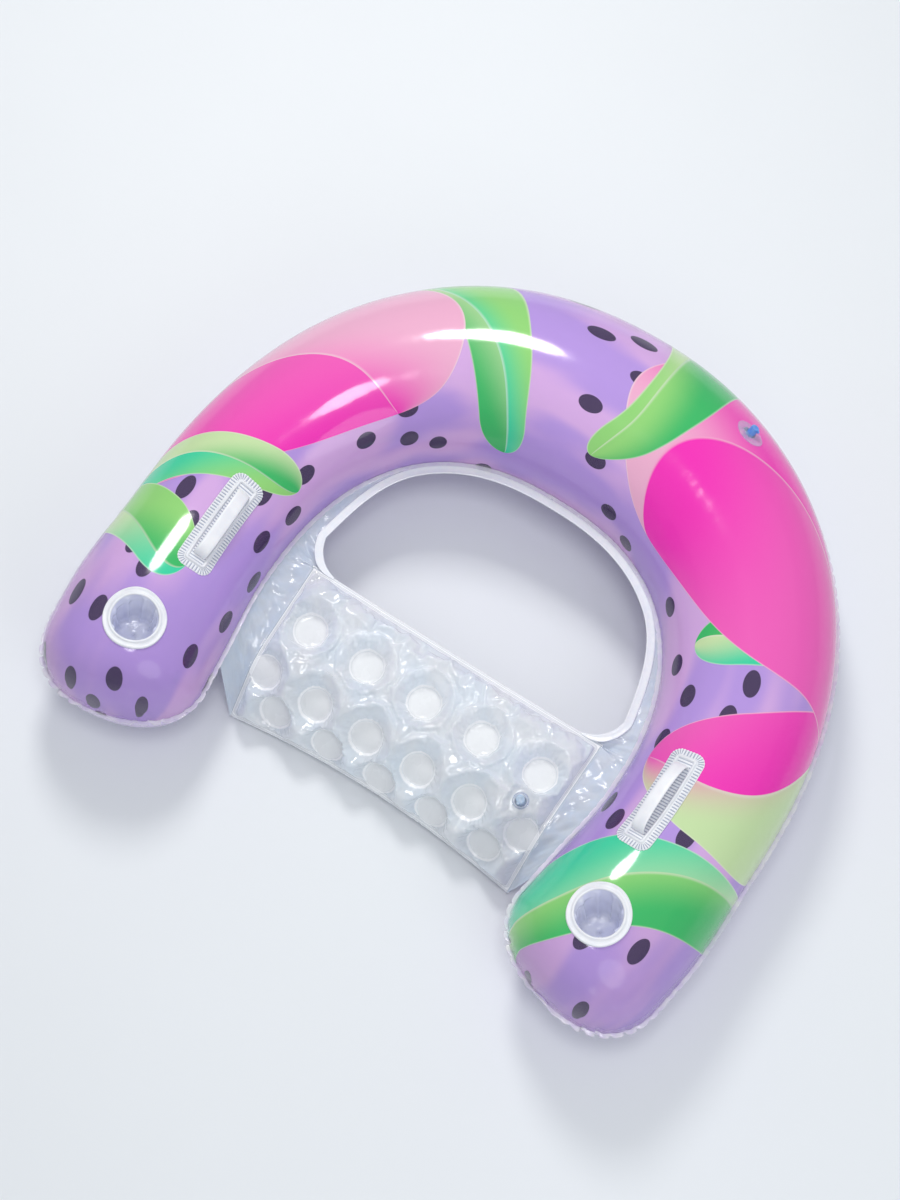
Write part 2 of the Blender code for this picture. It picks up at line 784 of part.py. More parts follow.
def seat_skirt(name, rim_name, mat, rim_mat):
    """Clear sheet from the tube's inner seam to the seat's sides, with the opening's white rim."""
    front_s = STATIONS[SKIRT_FRONT].s
    rear_s = (STATIONS[SKIRT_REAR].s + STATIONS[SKIRT_REAR + 1].s) / 2
    gusset_s = STATIONS[SKIRT_REAR + 1].s
    corner_s = STATIONS[SKIRT_REAR + 2].s
    corner_x = HOLE_HALF - HOLE_CORNER_R
    side_x = SEAT_HALF_REAR + SKIRT_CLEAR
    rear_y = SEAT_REAR_Y - MID_Y + SKIRT_CLEAR
    columns, rim = [], []

    def add_column(s, inner, out=None, band=0.0):
        edge = seam_point(s, SEAM_WIDTH + SKIRT_CLEAR)
        if band > 0.0:
            away = (out or edge - inner).normalized()
            rim.append([inner + away * band, inner])
            inner = inner + away * (band + GAP)
        middle = edge.lerp(inner, 0.5)
        middle.z -= 0.10 * (edge - inner).length
        columns.append([seam_point(s, 0.001), edge, middle, inner])

    for k in range(SIDE_STEPS):
        t = k / SIDE_STEPS
        v = SEAT_SIDE_LENGTH * (1 - t)
        at = (k // 2 + 0.5 * (k % 2)) / (SKIRT_REAR - SKIRT_FRONT + 0.5)
        add_column(front_s + (rear_s - front_s) * at, seat_point(seat_half(v) + SKIRT_CLEAR, v, 0.0))
    for k in range(3):
        x = side_x + (corner_x - side_x) * k / 3
        inner = seat_point(min(x, SEAT_HALF_REAR), 0.0, 0.0)
        inner.x = x
        inner.y = rear_y
        add_column(rear_s + (gusset_s - rear_s) * k / 3, inner)
    rim_z = seam_point(corner_s, 0.0).z
    hem_z = seat_point(corner_x, 0.0, 0.0).z
    for k in range(5):
        turn = math.pi / 2 * k / 5
        inner = Vector((corner_x + HOLE_CORNER_R * math.sin(turn),
                        rear_y + HOLE_CORNER_R * (1 - math.cos(turn)),
                        hem_z + (rim_z - hem_z) * 0.8 * smooth(k / 6)))
        out = Vector((math.sin(turn), -math.cos(turn), 0.0))
        band = RIM_BAND * min(1.0, (turn - RIM_START) / (RIM_FULL - RIM_START))
        add_column(gusset_s + (corner_s - gusset_s) * k / 5, inner, out, band)
    corner_edge = seam_point(corner_s, 0.0).x - HOLE_HALF
    for station in STATIONS[SKIRT_REAR + 2:]:
        t = (station.s - corner_s) / (HALF_LENGTH - corner_s)
        width = RIM_WIDTH + (corner_edge - RIM_WIDTH) * (1 - smooth(t / 0.45))
        inner = seam_point(station.s, width)
        inner.z -= (rim_z - hem_z) * 0.2 * (1 - smooth(t / 0.3))
        add_column(station.s, inner, band=RIM_BAND)
    add_sheet(name, both_halves(columns), mat, WALL)
    add_sheet(rim_name, both_halves(rim), rim_mat, RIM_THICK, level_edge=False)


def both_halves(columns):
    """Columns of the right half, then their mirror images back to the other end."""
    return columns + [[mirrored(p) for p in column] for column in columns[-2::-1]]


def add_sheet(name, grid, mat, thickness, level_edge=True):
    """A sheet through a grid of points, with its thickness across its face."""
    rows, columns = len(grid), len(grid[0])
    normals = [[Vector((0.0, 0.0, 0.0)) for _ in range(columns)] for _ in range(rows)]
    for i in range(rows - 1):
        for j in range(columns - 1):
            tilt = (grid[i + 1][j + 1] - grid[i][j]).cross(grid[i][j + 1] - grid[i + 1][j])
            for k, m in ((i, j), (i + 1, j), (i, j + 1), (i + 1, j + 1)):
                normals[k][m] += tilt
    verts, faces = [], []
    for face_side in (0.5, -0.5):
        for i in range(rows):
            for j in range(columns):
                normal = normals[i][j].normalized()
                if level_edge and j == 0:
                    normal = Vector((0.0, 0.0, math.copysign(1.0, normal.z)))
                verts.append(grid[i][j] + normal * (face_side * thickness))
    total = rows * columns
    for i in range(rows - 1):
        for j in range(columns - 1):
            a, b = i * columns + j, (i + 1) * columns + j
            faces.append((a, b, b + 1, a + 1))
            faces.append((a + total, a + 1 + total, b + 1 + total, b + total))
    border = [i * columns for i in range(rows)]
    border += [(rows - 1) * columns + j for j in range(1, columns)]
    border += [i * columns + columns - 1 for i in range(rows - 2, -1, -1)]
    border += [j for j in range(columns - 2, 0, -1)]
    for a, b in zip(border, border[1:] + border[:1]):
        faces.append((a, b, b + total, a + total))
    return add_object(name, verts, faces, mat)


# Valves

def valve_frame(origin, up, along):
    third = up.cross(along).normalized()
    first = third.cross(up)
    frame = Matrix((first, third, up)).transposed().to_4x4()
    frame.translation = origin
    return frame


def in_frame(frame):
    """Maps turned places to points of a rigid frame."""
    def place(radius, turn, height):
        return frame @ Vector((radius * math.cos(turn), radius * math.sin(turn), height))
    return place


def valve_base(name, frame, radius, follow, mat):
    """Welded flange with the collar that the stem slides in; follow bends the flange."""
    bore = STEM_R + GAP
    profile = [
        (radius, GAP), (radius, GAP + 0.0006), (radius - 0.002, GAP + 0.0010),
        (COLLAR_R + 0.002, GAP + 0.0012), (COLLAR_R + 0.001, COLLAR_TOP - 0.0003),
        (COLLAR_R, COLLAR_TOP), (bore, COLLAR_TOP), (bore, -COLLAR_DEPTH),
        (COLLAR_R, -COLLAR_DEPTH), (COLLAR_R, GAP),
    ]
    rigid = in_frame(frame)

    def place(reach, turn, height):
        point = rigid(reach, turn, height)
        hold = smooth((reach - COLLAR_R) / 0.004)
        return point + follow(reach, turn) * hold

    verts, faces = turned(profile, VALVE_STEPS, place)
    return add_object(name, verts, faces, mat, frame)


def valve_stem(name, frame, mat):
    """Push-in stem: a foot that holds it in the collar, a bore, and a lug for the tether."""
    foot_top = -COLLAR_DEPTH - GAP
    foot = foot_top - STEM_FOOT
    profile = [
        (STEM_R, STEM_TOP), (STEM_BORE_R, STEM_TOP), (STEM_BORE_R, foot),
        (STEM_FOOT_R, foot), (STEM_FOOT_R, foot_top), (STEM_R, foot_top),
    ]
    verts, faces = turned(profile, VALVE_STEPS, in_frame(frame))
    stem = add_object(name, verts, faces, mat, frame)
    lug_low = COLLAR_TOP + STEM_TRAVEL + GAP
    lug = lug_block(name + "_lug_shape", frame, (-TETHER_REACH, -STEM_R + 0.0010),
                    TETHER_WIDTH / 2, (lug_low, STEM_TOP - 0.0004), mat)
    heel = lug_block(name + "_heel_shape", frame, (-FLAP_REACH - 0.0008, -FLAP_R - GAP),
                     TETHER_WIDTH / 2, (foot - GAP - FLAP_THICK / 2, foot + 0.0004), mat)
    for block in (lug, heel):
        join = stem.modifiers.new(block.name, "BOOLEAN")
        join.operation = "UNION"
        join.solver = "EXACT"
        join.object = block
    return stem


def block_mesh(reach, half, heights):
    """Corner points and faces of a small straight block."""
    corners = [(x, y, z) for z in heights for y in (-half, half) for x in reach]
    faces = [(0, 2, 3, 1), (4, 5, 7, 6), (0, 1, 5, 4), (2, 6, 7, 3), (0, 4, 6, 2), (1, 3, 7, 5)]
    return corners, faces


def lug_block(name, frame, reach, half, heights, mat):
    corners, faces = block_mesh(reach, half, heights)
    block = add_object(name, [frame @ Vector(c) for c in corners], faces, mat, frame)
    block.hide_render = True
    block.display_type = "WIRE"
    return block


def valve_cap(name, frame, mat):
    """Tapered plug under a disc, with a tongue that hinges at the stem's lug."""
    seat_z = STEM_TOP + GAP
    plug_r = STEM_BORE_R - GAP
    profile = [
        (0.0, seat_z + CAP_THICK), (STEM_R - 0.0008, seat_z + CAP_THICK),
        (STEM_R, seat_z + CAP_THICK - 0.0006), (STEM_R, seat_z), (plug_r, seat_z),
        (plug_r - PLUG_TAPER, seat_z - PLUG_LENGTH), (0.0, seat_z - PLUG_LENGTH),
    ]
    hinge = hinge_frame(frame, -TETHER_REACH, STEM_TOP + GAP / 2)
    verts, faces = turned(profile, VALVE_STEPS, in_frame(frame))
    cap = add_object(name, verts, faces, mat, hinge)
    tongue = lug_block(name + "_tongue_shape", frame, (-TETHER_REACH + 0.0002, -STEM_R + 0.0012),
                       TETHER_WIDTH / 2, (seat_z + 0.0002, seat_z + 0.6 * CAP_THICK), mat)
    join = cap.modifiers.new("tongue", "BOOLEAN")
    join.operation = "UNION"
    join.solver = "EXACT"
    join.object = tongue
    return cap


def valve_flap(name, frame, mat):
    """Check flap under the stem's bore, hinged at the foot's heel."""
    top = -COLLAR_DEPTH - 2 * GAP - STEM_FOOT
    profile = [(0.0, top), (FLAP_R, top), (FLAP_R, top - FLAP_THICK), (0.0, top - FLAP_THICK)]
    hinge = hinge_frame(frame, -FLAP_REACH + 0.0004, top - FLAP_THICK / 2)
    verts, faces = turned(profile, VALVE_STEPS, in_frame(frame))
    return add_object(name, verts, faces, mat, hinge)


def hinge_frame(frame, x, z):
    """Frame on a hinge line that runs along the valve frame's Y axis."""
    hinge = frame.copy()
    hinge.translation = frame @ Vector((x, 0.0, z))
    return hinge


def build_valve(prefix, frame, radius, follow, mats):
    valve_base(prefix + "_valve_base", frame, radius, follow, mats["clear"])
    valve_stem(prefix + "_valve_stem", frame, mats["stem"])
    valve_cap(prefix + "_valve_cap", frame, mats["cap"])
    valve_flap(prefix + "_valve_flap", frame, mats["flap"])


def tube_valve(panel, mats):
    s = HALF_LENGTH
    while plan_point(s).x < TUBE_VALVE_X:
        s -= 0.0005
    seat = Seat(s, TUBE_VALVE_TURN, 1)
    frame = valve_frame(seat.origin, seat.up, seat.along)

    def follow(reach, turn):
        a, b = reach * math.cos(turn), reach * math.sin(turn)
        across = frame.to_3x3() @ Vector((a, b, 0.0))
        along_a = across.dot(seat.along)
        along_b = across.dot(seat.across)
        return seat.draped(along_a, along_b, 0.0) - seat.rigid(along_a, along_b, 0.0)

    cut(panel, cutter("tube_valve_drill", frame, COLLAR_R + 0.0006, 0.03))
    build_valve("tube", frame, TUBE_VALVE_R, follow, mats)


def seat_valve(sheet, mats):
    rise = GAP / 2 + seat_valve_rise() + WALL
    step = 0.004
    origin = seat_point(SEAT_VALVE_X, SEAT_VALVE_V, rise)
    ahead = seat_point(SEAT_VALVE_X, SEAT_VALVE_V - step, rise) - origin
    beside = seat_point(SEAT_VALVE_X + step, SEAT_VALVE_V, rise) - origin
    frame = valve_frame(origin, beside.cross(ahead).normalized(), ahead)

    def follow(reach, turn):
        local = Vector((reach * math.cos(turn), reach * math.sin(turn), 0.0))
        flat = frame @ local
        draped = seat_point(SEAT_VALVE_X - local.y, SEAT_VALVE_V - local.x, rise)
        return frame.to_3x3() @ Vector((0.0, 0.0, (draped - flat).dot(frame.to_3x3() @ Z_AXIS)))

    cut(sheet, cutter("seat_valve_drill", frame, COLLAR_R + 0.0006, 0.016))
    build_valve("seat", frame, SEAT_VALVE_R, follow, mats)


def centre_lengthways(thing):
    """Moves everything so that the middle of one piece's length is over the origin."""
    depths = [(thing.matrix_world @ v.co).y for v in thing.data.vertices]
    shift = (min(depths) + max(depths)) / 2
    for each in bpy.context.scene.objects:
        each.location.y -= shift


def main():
    clear_scene()
    printed = material("printed_vinyl", (0.86, 0.28, 0.66), 0.12)
    under = material("under_vinyl", (0.80, 0.74, 0.92), 0.15)
    clear = material("clear_vinyl", (0.86, 0.93, 0.98), 0.10, 0.5)
    frosted = material("frosted_vinyl", (0.80, 0.88, 0.96), 0.18, 0.7)
    white = material("white_moulding", (0.92, 0.94, 0.97), 0.35)
    band = material("white_band", (0.93, 0.95, 0.98), 0.20)
    lilac = material("lilac_well", (0.72, 0.72, 0.90), 0.25)
    blue = material("blue_stem", (0.45, 0.66, 0.90), 0.15, 0.8)
    mats = {"clear": clear, "stem": blue, "cap": blue, "flap": clear}

    upper = tube_panel("tube_upper_panel", UPPER_ANGLES, False, printed)
    tube_panel("tube_lower_panel", LOWER_ANGLES, True, under)
    for side, word in ((1, "right"), (-1, "left")):
        cup = Seat(CUP_ALONG, CUP_TURN, side)
        cut(upper, cutter("cup_drill_" + word, cup.frame, CUP_MOUTH_R + WALL + CUP_CLEAR, 0.05))
        cup_ring("cup_ring_" + word, cup, white)
        cup_well("cup_well_" + word, cup, lilac)
        grab_handle("handle_" + word, Seat(HANDLE_ALONG, HANDLE_TURN, side, True), white)
    tube_valve(upper, mats)
    seat_skirt("seat_skirt", "opening_rim", clear, band)
    pad = seat_sheet("seat_upper_sheet", 1, frosted)
    seat_sheet("seat_lower_sheet", -1, frosted)
    seat_valve(pad, mats)
    centre_lengthways(upper)
    bpy.context.view_layer.update()


main()
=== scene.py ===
"""Dresses the floating water hammock: smooth vinyl, moulded trim, quilted seat, studio.

Sizes are in metres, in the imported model's frame, and repeat the CAD source's own values.
"""

import math

import bmesh
import bpy
import numpy as np
from mathutils import Matrix, Vector
from mathutils.geometry import delaunay_2d_cdt
from mathutils.kdtree import KDTree


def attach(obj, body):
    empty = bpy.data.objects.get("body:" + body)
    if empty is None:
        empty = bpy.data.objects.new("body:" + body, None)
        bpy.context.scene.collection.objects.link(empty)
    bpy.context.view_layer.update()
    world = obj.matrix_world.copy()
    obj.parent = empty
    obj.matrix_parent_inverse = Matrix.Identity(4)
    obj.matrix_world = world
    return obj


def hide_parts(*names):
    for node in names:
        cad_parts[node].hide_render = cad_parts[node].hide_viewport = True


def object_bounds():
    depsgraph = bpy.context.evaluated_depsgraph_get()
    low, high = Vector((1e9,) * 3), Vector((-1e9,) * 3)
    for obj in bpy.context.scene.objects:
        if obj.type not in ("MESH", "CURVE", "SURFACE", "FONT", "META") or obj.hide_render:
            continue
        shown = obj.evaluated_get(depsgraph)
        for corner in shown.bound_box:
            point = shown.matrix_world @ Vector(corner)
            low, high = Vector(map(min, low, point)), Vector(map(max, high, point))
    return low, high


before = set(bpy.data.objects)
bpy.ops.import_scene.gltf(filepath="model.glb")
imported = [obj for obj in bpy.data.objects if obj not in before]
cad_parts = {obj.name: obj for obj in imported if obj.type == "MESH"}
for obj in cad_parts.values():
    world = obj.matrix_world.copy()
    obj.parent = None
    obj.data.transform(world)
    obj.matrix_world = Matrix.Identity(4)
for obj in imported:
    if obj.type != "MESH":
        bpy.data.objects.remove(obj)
cad_low, cad_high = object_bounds()

# Centreline of the tube in plan, as in the CAD source
ARM_SPREAD = 0.951
ARM_LENGTH = 0.381
ARM_BOW = 1.54
ARCH_DEPTH = 0.515
ARCH_FULLNESS = 2.25

# Tube section
TUBE_R_FRONT = 0.1415
TUBE_R_SIDE = 0.1325
TUBE_R_BACK = 0.168
WAIST_FROM = 0.17
WAIST_AT = 0.36
END_LENGTH = 0.110
END_FULLNESS = 2.3
SEAM_WIDTH = 0.007
FLOOR_SINK = 0.0018
WALL = 0.0005
SEAM_GAP = 0.0003
SHORT_STEP = 0.004

# Sling seat
SEAT_REAR_Y = 0.415
SEAT_HALF_REAR = 0.290
SEAT_HALF_FRONT = 0.283
SEAT_LENGTH = 0.285
SEAT_FRONT_BOW = 0.028
SEAT_REAR_DROP = 0.010
SEAT_SAG = 0.006
SEAT_SLOPE_REAR = math.radians(4)
SEAT_SLOPE_FRONT = math.radians(48)
SEAT_BEND_FROM = 0.150
SEAT_BEND_R = 0.090
SEAT_CROWN = 0.026
HEM = 0.011
HEM_RISE = 0.042
HEM_LINE_PITCH = 0.0052
DIMPLE_ROWS = ((0.099, 5, 0.114), (0.199, 6, 0.102), (0.251, 5, 0.104))
DISC_R = 0.0275
DISC_RISE = 0.024
HOLE_HALF = 0.298
HOLE_CORNER_R = 0.058
RIM_WIDTH = 0.0205

# Fittings
CUP_ALONG = 0.133
CUP_TURN = math.radians(6.5)
CUP_MOUTH_R = 0.039
CUP_FLOOR_R = 0.031
CUP_DEPTH = 0.100
CUP_FOLDS = 8
CUP_FOLD_DEPTH = 0.0046
RING_R = 0.052
RING_HEIGHT = 0.0038
HANDLE_ALONG = 0.352
HANDLE_TURN = math.radians(22)
HANDLE_LENGTH = 0.196
HANDLE_WIDTH = 0.062
HANDLE_CORNER_R = 0.019
HANDLE_RIBS = 88
FLANGE_MIDDLE = 0.0055
FLOOR_RIB_PITCH = 0.0055
LINING = 0.0006
STRAP_WIDTH = 0.019
STRAP_THICK = 0.0042
STRAP_SPAN = 0.136
STRAP_RISE = 0.024

# Valves
TUBE_VALVE_X = 0.19
TUBE_VALVE_TURN = math.radians(-36)
TUBE_VALVE_R = 0.022
SEAT_VALVE_X = 0.226
SEAT_VALVE_V = 0.155
SEAT_VALVE_R = 0.0145
SEAT_VALVE_LAND = 0.003
VALVE_LEVEL = 0.80
SEAT_POCKET = 0.026
COLLAR_R = 0.0095
COLLAR_TOP = 0.0032
COLLAR_DEPTH = 0.009
COLLAR_PLAY = 0.0006
STEM_R = 0.0073
STEM_BORE_R = 0.0046
STEM_TOP = 0.0136
STEM_FOOT_R = 0.0090
STEM_FOOT = 0.0012
STEM_TRAVEL = 0.0085
PLUG_LENGTH = 0.0050
CAP_THICK = 0.0016
VALVE_GAP = 0.0003
TETHER_REACH = 0.0100
TETHER_WIDTH = 0.0044
FLAP_R = 0.0058
FLAP_REACH = 0.0064

SEAT_LEVEL = TUBE_R_SIDE - FLOOR_SINK
rng = np.random.default_rng(11)


# Tube shape

PLAN_STEPS = 2400


def smooth(t):
    t = np.clip(t, 0.0, 1.0)
    return 0.5 - 0.5 * np.cos(np.pi * t)


def unit(vectors):
    return vectors / np.linalg.norm(vectors, axis=-1, keepdims=True)


def full_turn(count):
    return np.linspace(0, 2 * np.pi, count, endpoint=False)


def shares(count):
    """Even steps from 0 that stop short of 1."""
    return np.linspace(0, 1, count, endpoint=False)


def between(low, high, share):
    return low + (high - low) * share


def polar(reach, turn, height=0.0):
    """Points at a distance and a turn round an upright axis."""
    return np.stack(np.broadcast_arrays(reach * np.cos(turn), reach * np.sin(turn), height), -1)


def run_along(points):
    """Distance of each point of a line from its first."""
    return np.concatenate([[0], np.cumsum(np.linalg.norm(np.diff(points, axis=0), axis=1))])


def smoothed(columns, width):
    """Columns of values averaged along their length by a soft window."""
    window = np.hanning(width) / np.hanning(width).sum()
    padded = np.pad(columns, ((width // 2, width // 2), (0, 0)), mode="edge")
    return np.column_stack([np.convolve(column, window, mode="valid") for column in padded.T])


def plan_curve():
    """Evenly spaced plan points of the right half, with their distance and direction."""
    half = ARM_SPREAD / 2
    back = np.linspace(ARM_LENGTH, 0, 400, endpoint=False)
    arm = np.column_stack([half - back ** 2 / (2 * ARM_BOW), ARM_LENGTH - back])
    turn = np.linspace(0, np.pi / 2, 6000)
    across = np.cos(turn).clip(0) ** (2 / ARCH_FULLNESS)
    arch = np.column_stack([half * across, ARM_LENGTH + ARCH_DEPTH * np.sin(turn) ** (2 / ARCH_FULLNESS)])
    rough = np.vstack([arm, arch])
    run = run_along(rough)
    s = np.linspace(0, run[-1], PLAN_STEPS)
    points = np.column_stack([np.interp(s, run, rough[:, k]) for k in (0, 1)])
    along = np.gradient(points, s, axis=0)
    along[-3:] = (-1.0, 0.0)
    return s, points, unit(smoothed(along, 15))


PLAN_S, PLAN, PLAN_ALONG = plan_curve()
HALF_LENGTH = float(PLAN_S[-1])
MID_Y = ARM_LENGTH + ARCH_DEPTH + TUBE_R_BACK + SEAM_WIDTH - cad_high[1]
PLAN[:, 1] -= MID_Y


def tube_radius(s):
    front = smooth((s - WAIST_FROM) / (WAIST_AT - WAIST_FROM))
    back = smooth((s - WAIST_AT) / (HALF_LENGTH - WAIST_AT))
    return TUBE_R_FRONT + (TUBE_R_SIDE - TUBE_R_FRONT) * front + (TUBE_R_BACK - TUBE_R_SIDE) * back


def end_share(s):
    back = np.clip(1 - s / END_LENGTH, 0, 1)
    return np.clip(1 - back ** END_FULLNESS, 0, 1) ** (1 / END_FULLNESS)


def from_tip(q):
    """Distance from the nearer arm tip of a position along the whole tube."""
    return np.minimum(q, 2 * HALF_LENGTH - q)


def half_tube(s, angle, rise):
    """Points of the right half: the angle runs from the outer seam over the top."""
    s, angle, rise = np.broadcast_arrays(np.asarray(s, float), angle, rise)
    x, y, ax, ay = (np.interp(s, PLAN_S, column) for column in np.hstack([PLAN, PLAN_ALONG]).T)
    radius = tube_radius(s)
    reach = radius * end_share(s) + rise
    side = reach * np.cos(angle)
    z = radius - FLOOR_SINK + reach * np.sin(angle)
    return np.stack([x + ay * side, y - ax * side, z], -1)


def tube(q, angle, rise=0.0):
    """Points along the whole tube: q runs from the right arm tip round to the left one."""
    q = np.asarray(q, float)
    points = half_tube(from_tip(q), angle, rise)
    points[..., 0] *= np.where(q > HALF_LENGTH, -1.0, 1.0)
    return points


# Mesh helpers

def put(name, data):
    """New object in the scene."""
    thing = bpy.data.objects.new(name, data)
    bpy.context.scene.collection.objects.link(thing)
    return thing


def smooth_mesh(name, verts, faces, mat):
    mesh = bpy.data.meshes.new(name)
    mesh.from_pydata(np.asarray(verts, float).reshape(-1, 3).tolist(), [], [tuple(f) for f in faces])
    mesh.update()
    mesh.shade_smooth()
    mesh.materials.append(mat)
    return mesh


def add_mesh(name, verts, faces, mat, slot, replaces=(), uv=None, body="float"):
    """Adds a smooth-shaded piece that rides on a body and stands in for CAD nodes."""
    mesh = smooth_mesh(name, verts, faces, mat)
    if uv is not None:
        layer = mesh.uv_layers.new(name="sheet")
        index = np.empty(len(mesh.loops), np.int32)
        mesh.loops.foreach_get("vertex_index", index)
        layer.uv.foreach_set("vector", np.asarray(uv, np.float32).reshape(-1, 2)[index].ravel())
    thing = put(name, mesh)
    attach(thing, body)
    if replaces:
        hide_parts(*replaces)
    return thing


def grid_faces(rows, columns, wrap=False, flip=False):
    """Four-sided faces of a grid of points; a wrapped grid closes from its last column to its first."""
    faces = []
    for i in range(rows - 1):
        for j in range(columns if wrap else columns - 1):
            k = (j + 1) % columns
            this, following = i * columns, (i + 1) * columns
            face = (this + j, following + j, following + k, this + k)
            faces.append(face[::-1] if flip else face)
    return faces


def closed_faces(rows, columns):
    """Faces of a wrapped grid with one face over each of its two ends."""
    ends = [tuple(range(columns)), tuple(range((rows - 1) * columns, rows * columns))]
    return grid_faces(rows, columns, wrap=True) + ends


def both_sides(right):
    """A line or grid of the right side, followed by its mirror image from the middle outwards."""
    return np.concatenate([right, (right * [-1, 1, 1])[-2::-1]])


def clean(thing, distance=1e-5):
    """Merges doubled points and turns all faces outwards."""
    bm = bmesh.new()
    bm.from_mesh(thing.data)
    bmesh.ops.remove_doubles(bm, verts=bm.verts, dist=distance)
    bmesh.ops.dissolve_degenerate(bm, edges=bm.edges, dist=1e-7)
    bmesh.ops.recalc_face_normals(bm, faces=bm.faces)
    bm.to_mesh(thing.data)
    bm.free()
    thing.data.shade_smooth()


def apply_modifiers(thing):
    bpy.context.view_layer.update()
    graph = bpy.context.evaluated_depsgraph_get()
    mesh = bpy.data.meshes.new_from_object(thing.evaluated_get(graph), depsgraph=graph)
    old = thing.data
    thing.modifiers.clear()
    thing.data = mesh
    bpy.data.meshes.remove(old)


def thicken(thing, thickness=WALL, offset=-1.0):
    solid = thing.modifiers.new("thickness", "SOLIDIFY")
    solid.thickness = thickness
    solid.offset = offset
    solid.use_even_offset = False


def catmull(points, steps):
    """Smooth closed outline through profile points."""
    points = np.asarray(points, float)
    n = len(points)
    made = []
    for i in range(n):
        p0, p1, p2, p3 = (points[(i + k - 1) % n] for k in range(4))
        for t in shares(steps):
            made.append(0.5 * (2 * p1 + (p2 - p0) * t + (2 * p0 - 5 * p1 + 4 * p2 - p3) * t ** 2
                               + (3 * p1 - p0 - 3 * p2 + p3) * t ** 3))
    return np.array(made)


# Materials

class Value:
    """A node's output with arithmetic, so that a material's formulas read as formulas."""

    def __init__(self, nodes, socket):
        self.nodes = nodes
        self.socket = socket

    def __add__(self, other):
        return self.nodes.math("ADD", self, other)

    def __sub__(self, other):
        return self.nodes.math("SUBTRACT", self, other)

    def __rsub__(self, other):
        return self.nodes.math("SUBTRACT", other, self)

    def __mul__(self, other):
        return self.nodes.math("MULTIPLY", self, other)

    def __truediv__(self, other):
        return self.nodes.math("DIVIDE", self, other)

    __radd__ = __add__
    __rmul__ = __mul__


class Nodes:
    """Small helper for building a material's node tree."""

    def __init__(self, name, **shader):
        self.mat = bpy.data.materials.new(name)
        self.mat.use_nodes = True
        self.tree = self.mat.node_tree
        self.shader = self.tree.nodes["Principled BSDF"]
        for key, value in shader.items():
            self.shader.inputs[key.replace("_", " ")].default_value = value
        self.place = self.value("TexCoord", "Object")

    def add(self, kind, values=(), **settings):
        """Adds a node with its settings and its inputs, which are numbers, colours or other outputs."""
        node = self.tree.nodes.new("ShaderNode" + kind)
        for key, value in settings.items():
            setattr(node, key, value)
        for key, value in dict(values).items():
            self.feed(node.inputs[key], value)
        return node

    def value(self, kind, output, values=(), **settings):
        return Value(self, self.add(kind, values, **settings).outputs[output])

    def feed(self, socket, value):
        if isinstance(value, Value):
            self.tree.links.new(value.socket, socket)
        elif isinstance(value, tuple) and socket.type == "RGBA":
            socket.default_value = (*value, 1.0)
        else:
            socket.default_value = value

    def math(self, operation, a, b=0.0, clamp=False):
        return self.value("Math", 0, {0: a, 1: b}, operation=operation, use_clamp=clamp)

    def step(self, value, low, high):
        """0 below low, 1 above high, and smooth between."""
        values = {"Value": value, "From Min": low, "From Max": high}
        return self.value("MapRange", "Result", values, interpolation_type="SMOOTHSTEP")

    def spread(self, value, low, high, to_low, to_high):
        values = {"Value": value, "From Min": low, "From Max": high, "To Min": to_low, "To Max": to_high}
        return self.value("MapRange", "Result", values)

    def mix(self, share, a, b):
        return self.value("Mix", 2, {0: share, 6: a, 7: b}, data_type="RGBA")

    def noise(self, scale, detail, vector, roughness=0.5):
        """Flat noise over a map or over the plan of the piece's own space."""
        values = {"Vector": vector, "Scale": scale, "Detail": detail, "Roughness": roughness}
        return self.value("TexNoise", "Fac", values, noise_dimensions="2D")

    def mapped(self, vector, scale, turn):
        """The flat map stretched and turned."""
        values = {"Vector": vector, "Scale": (*scale, 1.0), "Rotation": (0.0, 0.0, turn)}
        return self.value("Mapping", 0, values)

    def sheet(self):
        """The piece's flat map, and its two coordinates."""
        uv = self.value("UVMap", "UV", uv_map="sheet")
        split = self.add("SeparateXYZ", {0: uv})
        return uv, Value(self, split.outputs[0]), Value(self, split.outputs[1])

    def facing(self):
        return self.value("LayerWeight", "Facing", {"Blend": 0.35})

    def veil(self, cloud, low, high):
        """Cover of a thin film: more where it is cloudy and where it is seen edge on."""
        return self.spread(self.facing() * 0.8 + cloud * 0.4, 0.1, 1.0, low, high)

    def fine_grain(self):
        return self.noise(60.0, 3.0, self.place) + self.noise(700.0, 1.0, self.place) * 0.05

    def bump(self, height, strength, distance):
        values = {"Height": height, "Strength": strength, "Distance": distance}
        self.out("Normal", self.value("Bump", "Normal", values))

    def out(self, socket, value):
        self.feed(self.shader.inputs[socket], value)


LILAC = (0.63, 0.41, 0.97)
PALE_LILAC = (0.90, 0.56, 1.0)
MAGENTA = (0.98, 0.0, 0.50)
PINK = (0.95, 0.10, 0.52)
PALE_PINK = (0.92, 0.46, 0.66)
GREEN = (0.02, 0.52, 0.12)
LIME = (0.30, 0.72, 0.18)
PALE_LIME = (0.62, 0.82, 0.42)
MINT = (0.02, 0.70, 0.38)
PLUM = (0.045, 0.018, 0.09)
PALE_EDGE = (0.92, 0.86, 0.80)
MILK = (0.9, 0.85, 0.95)

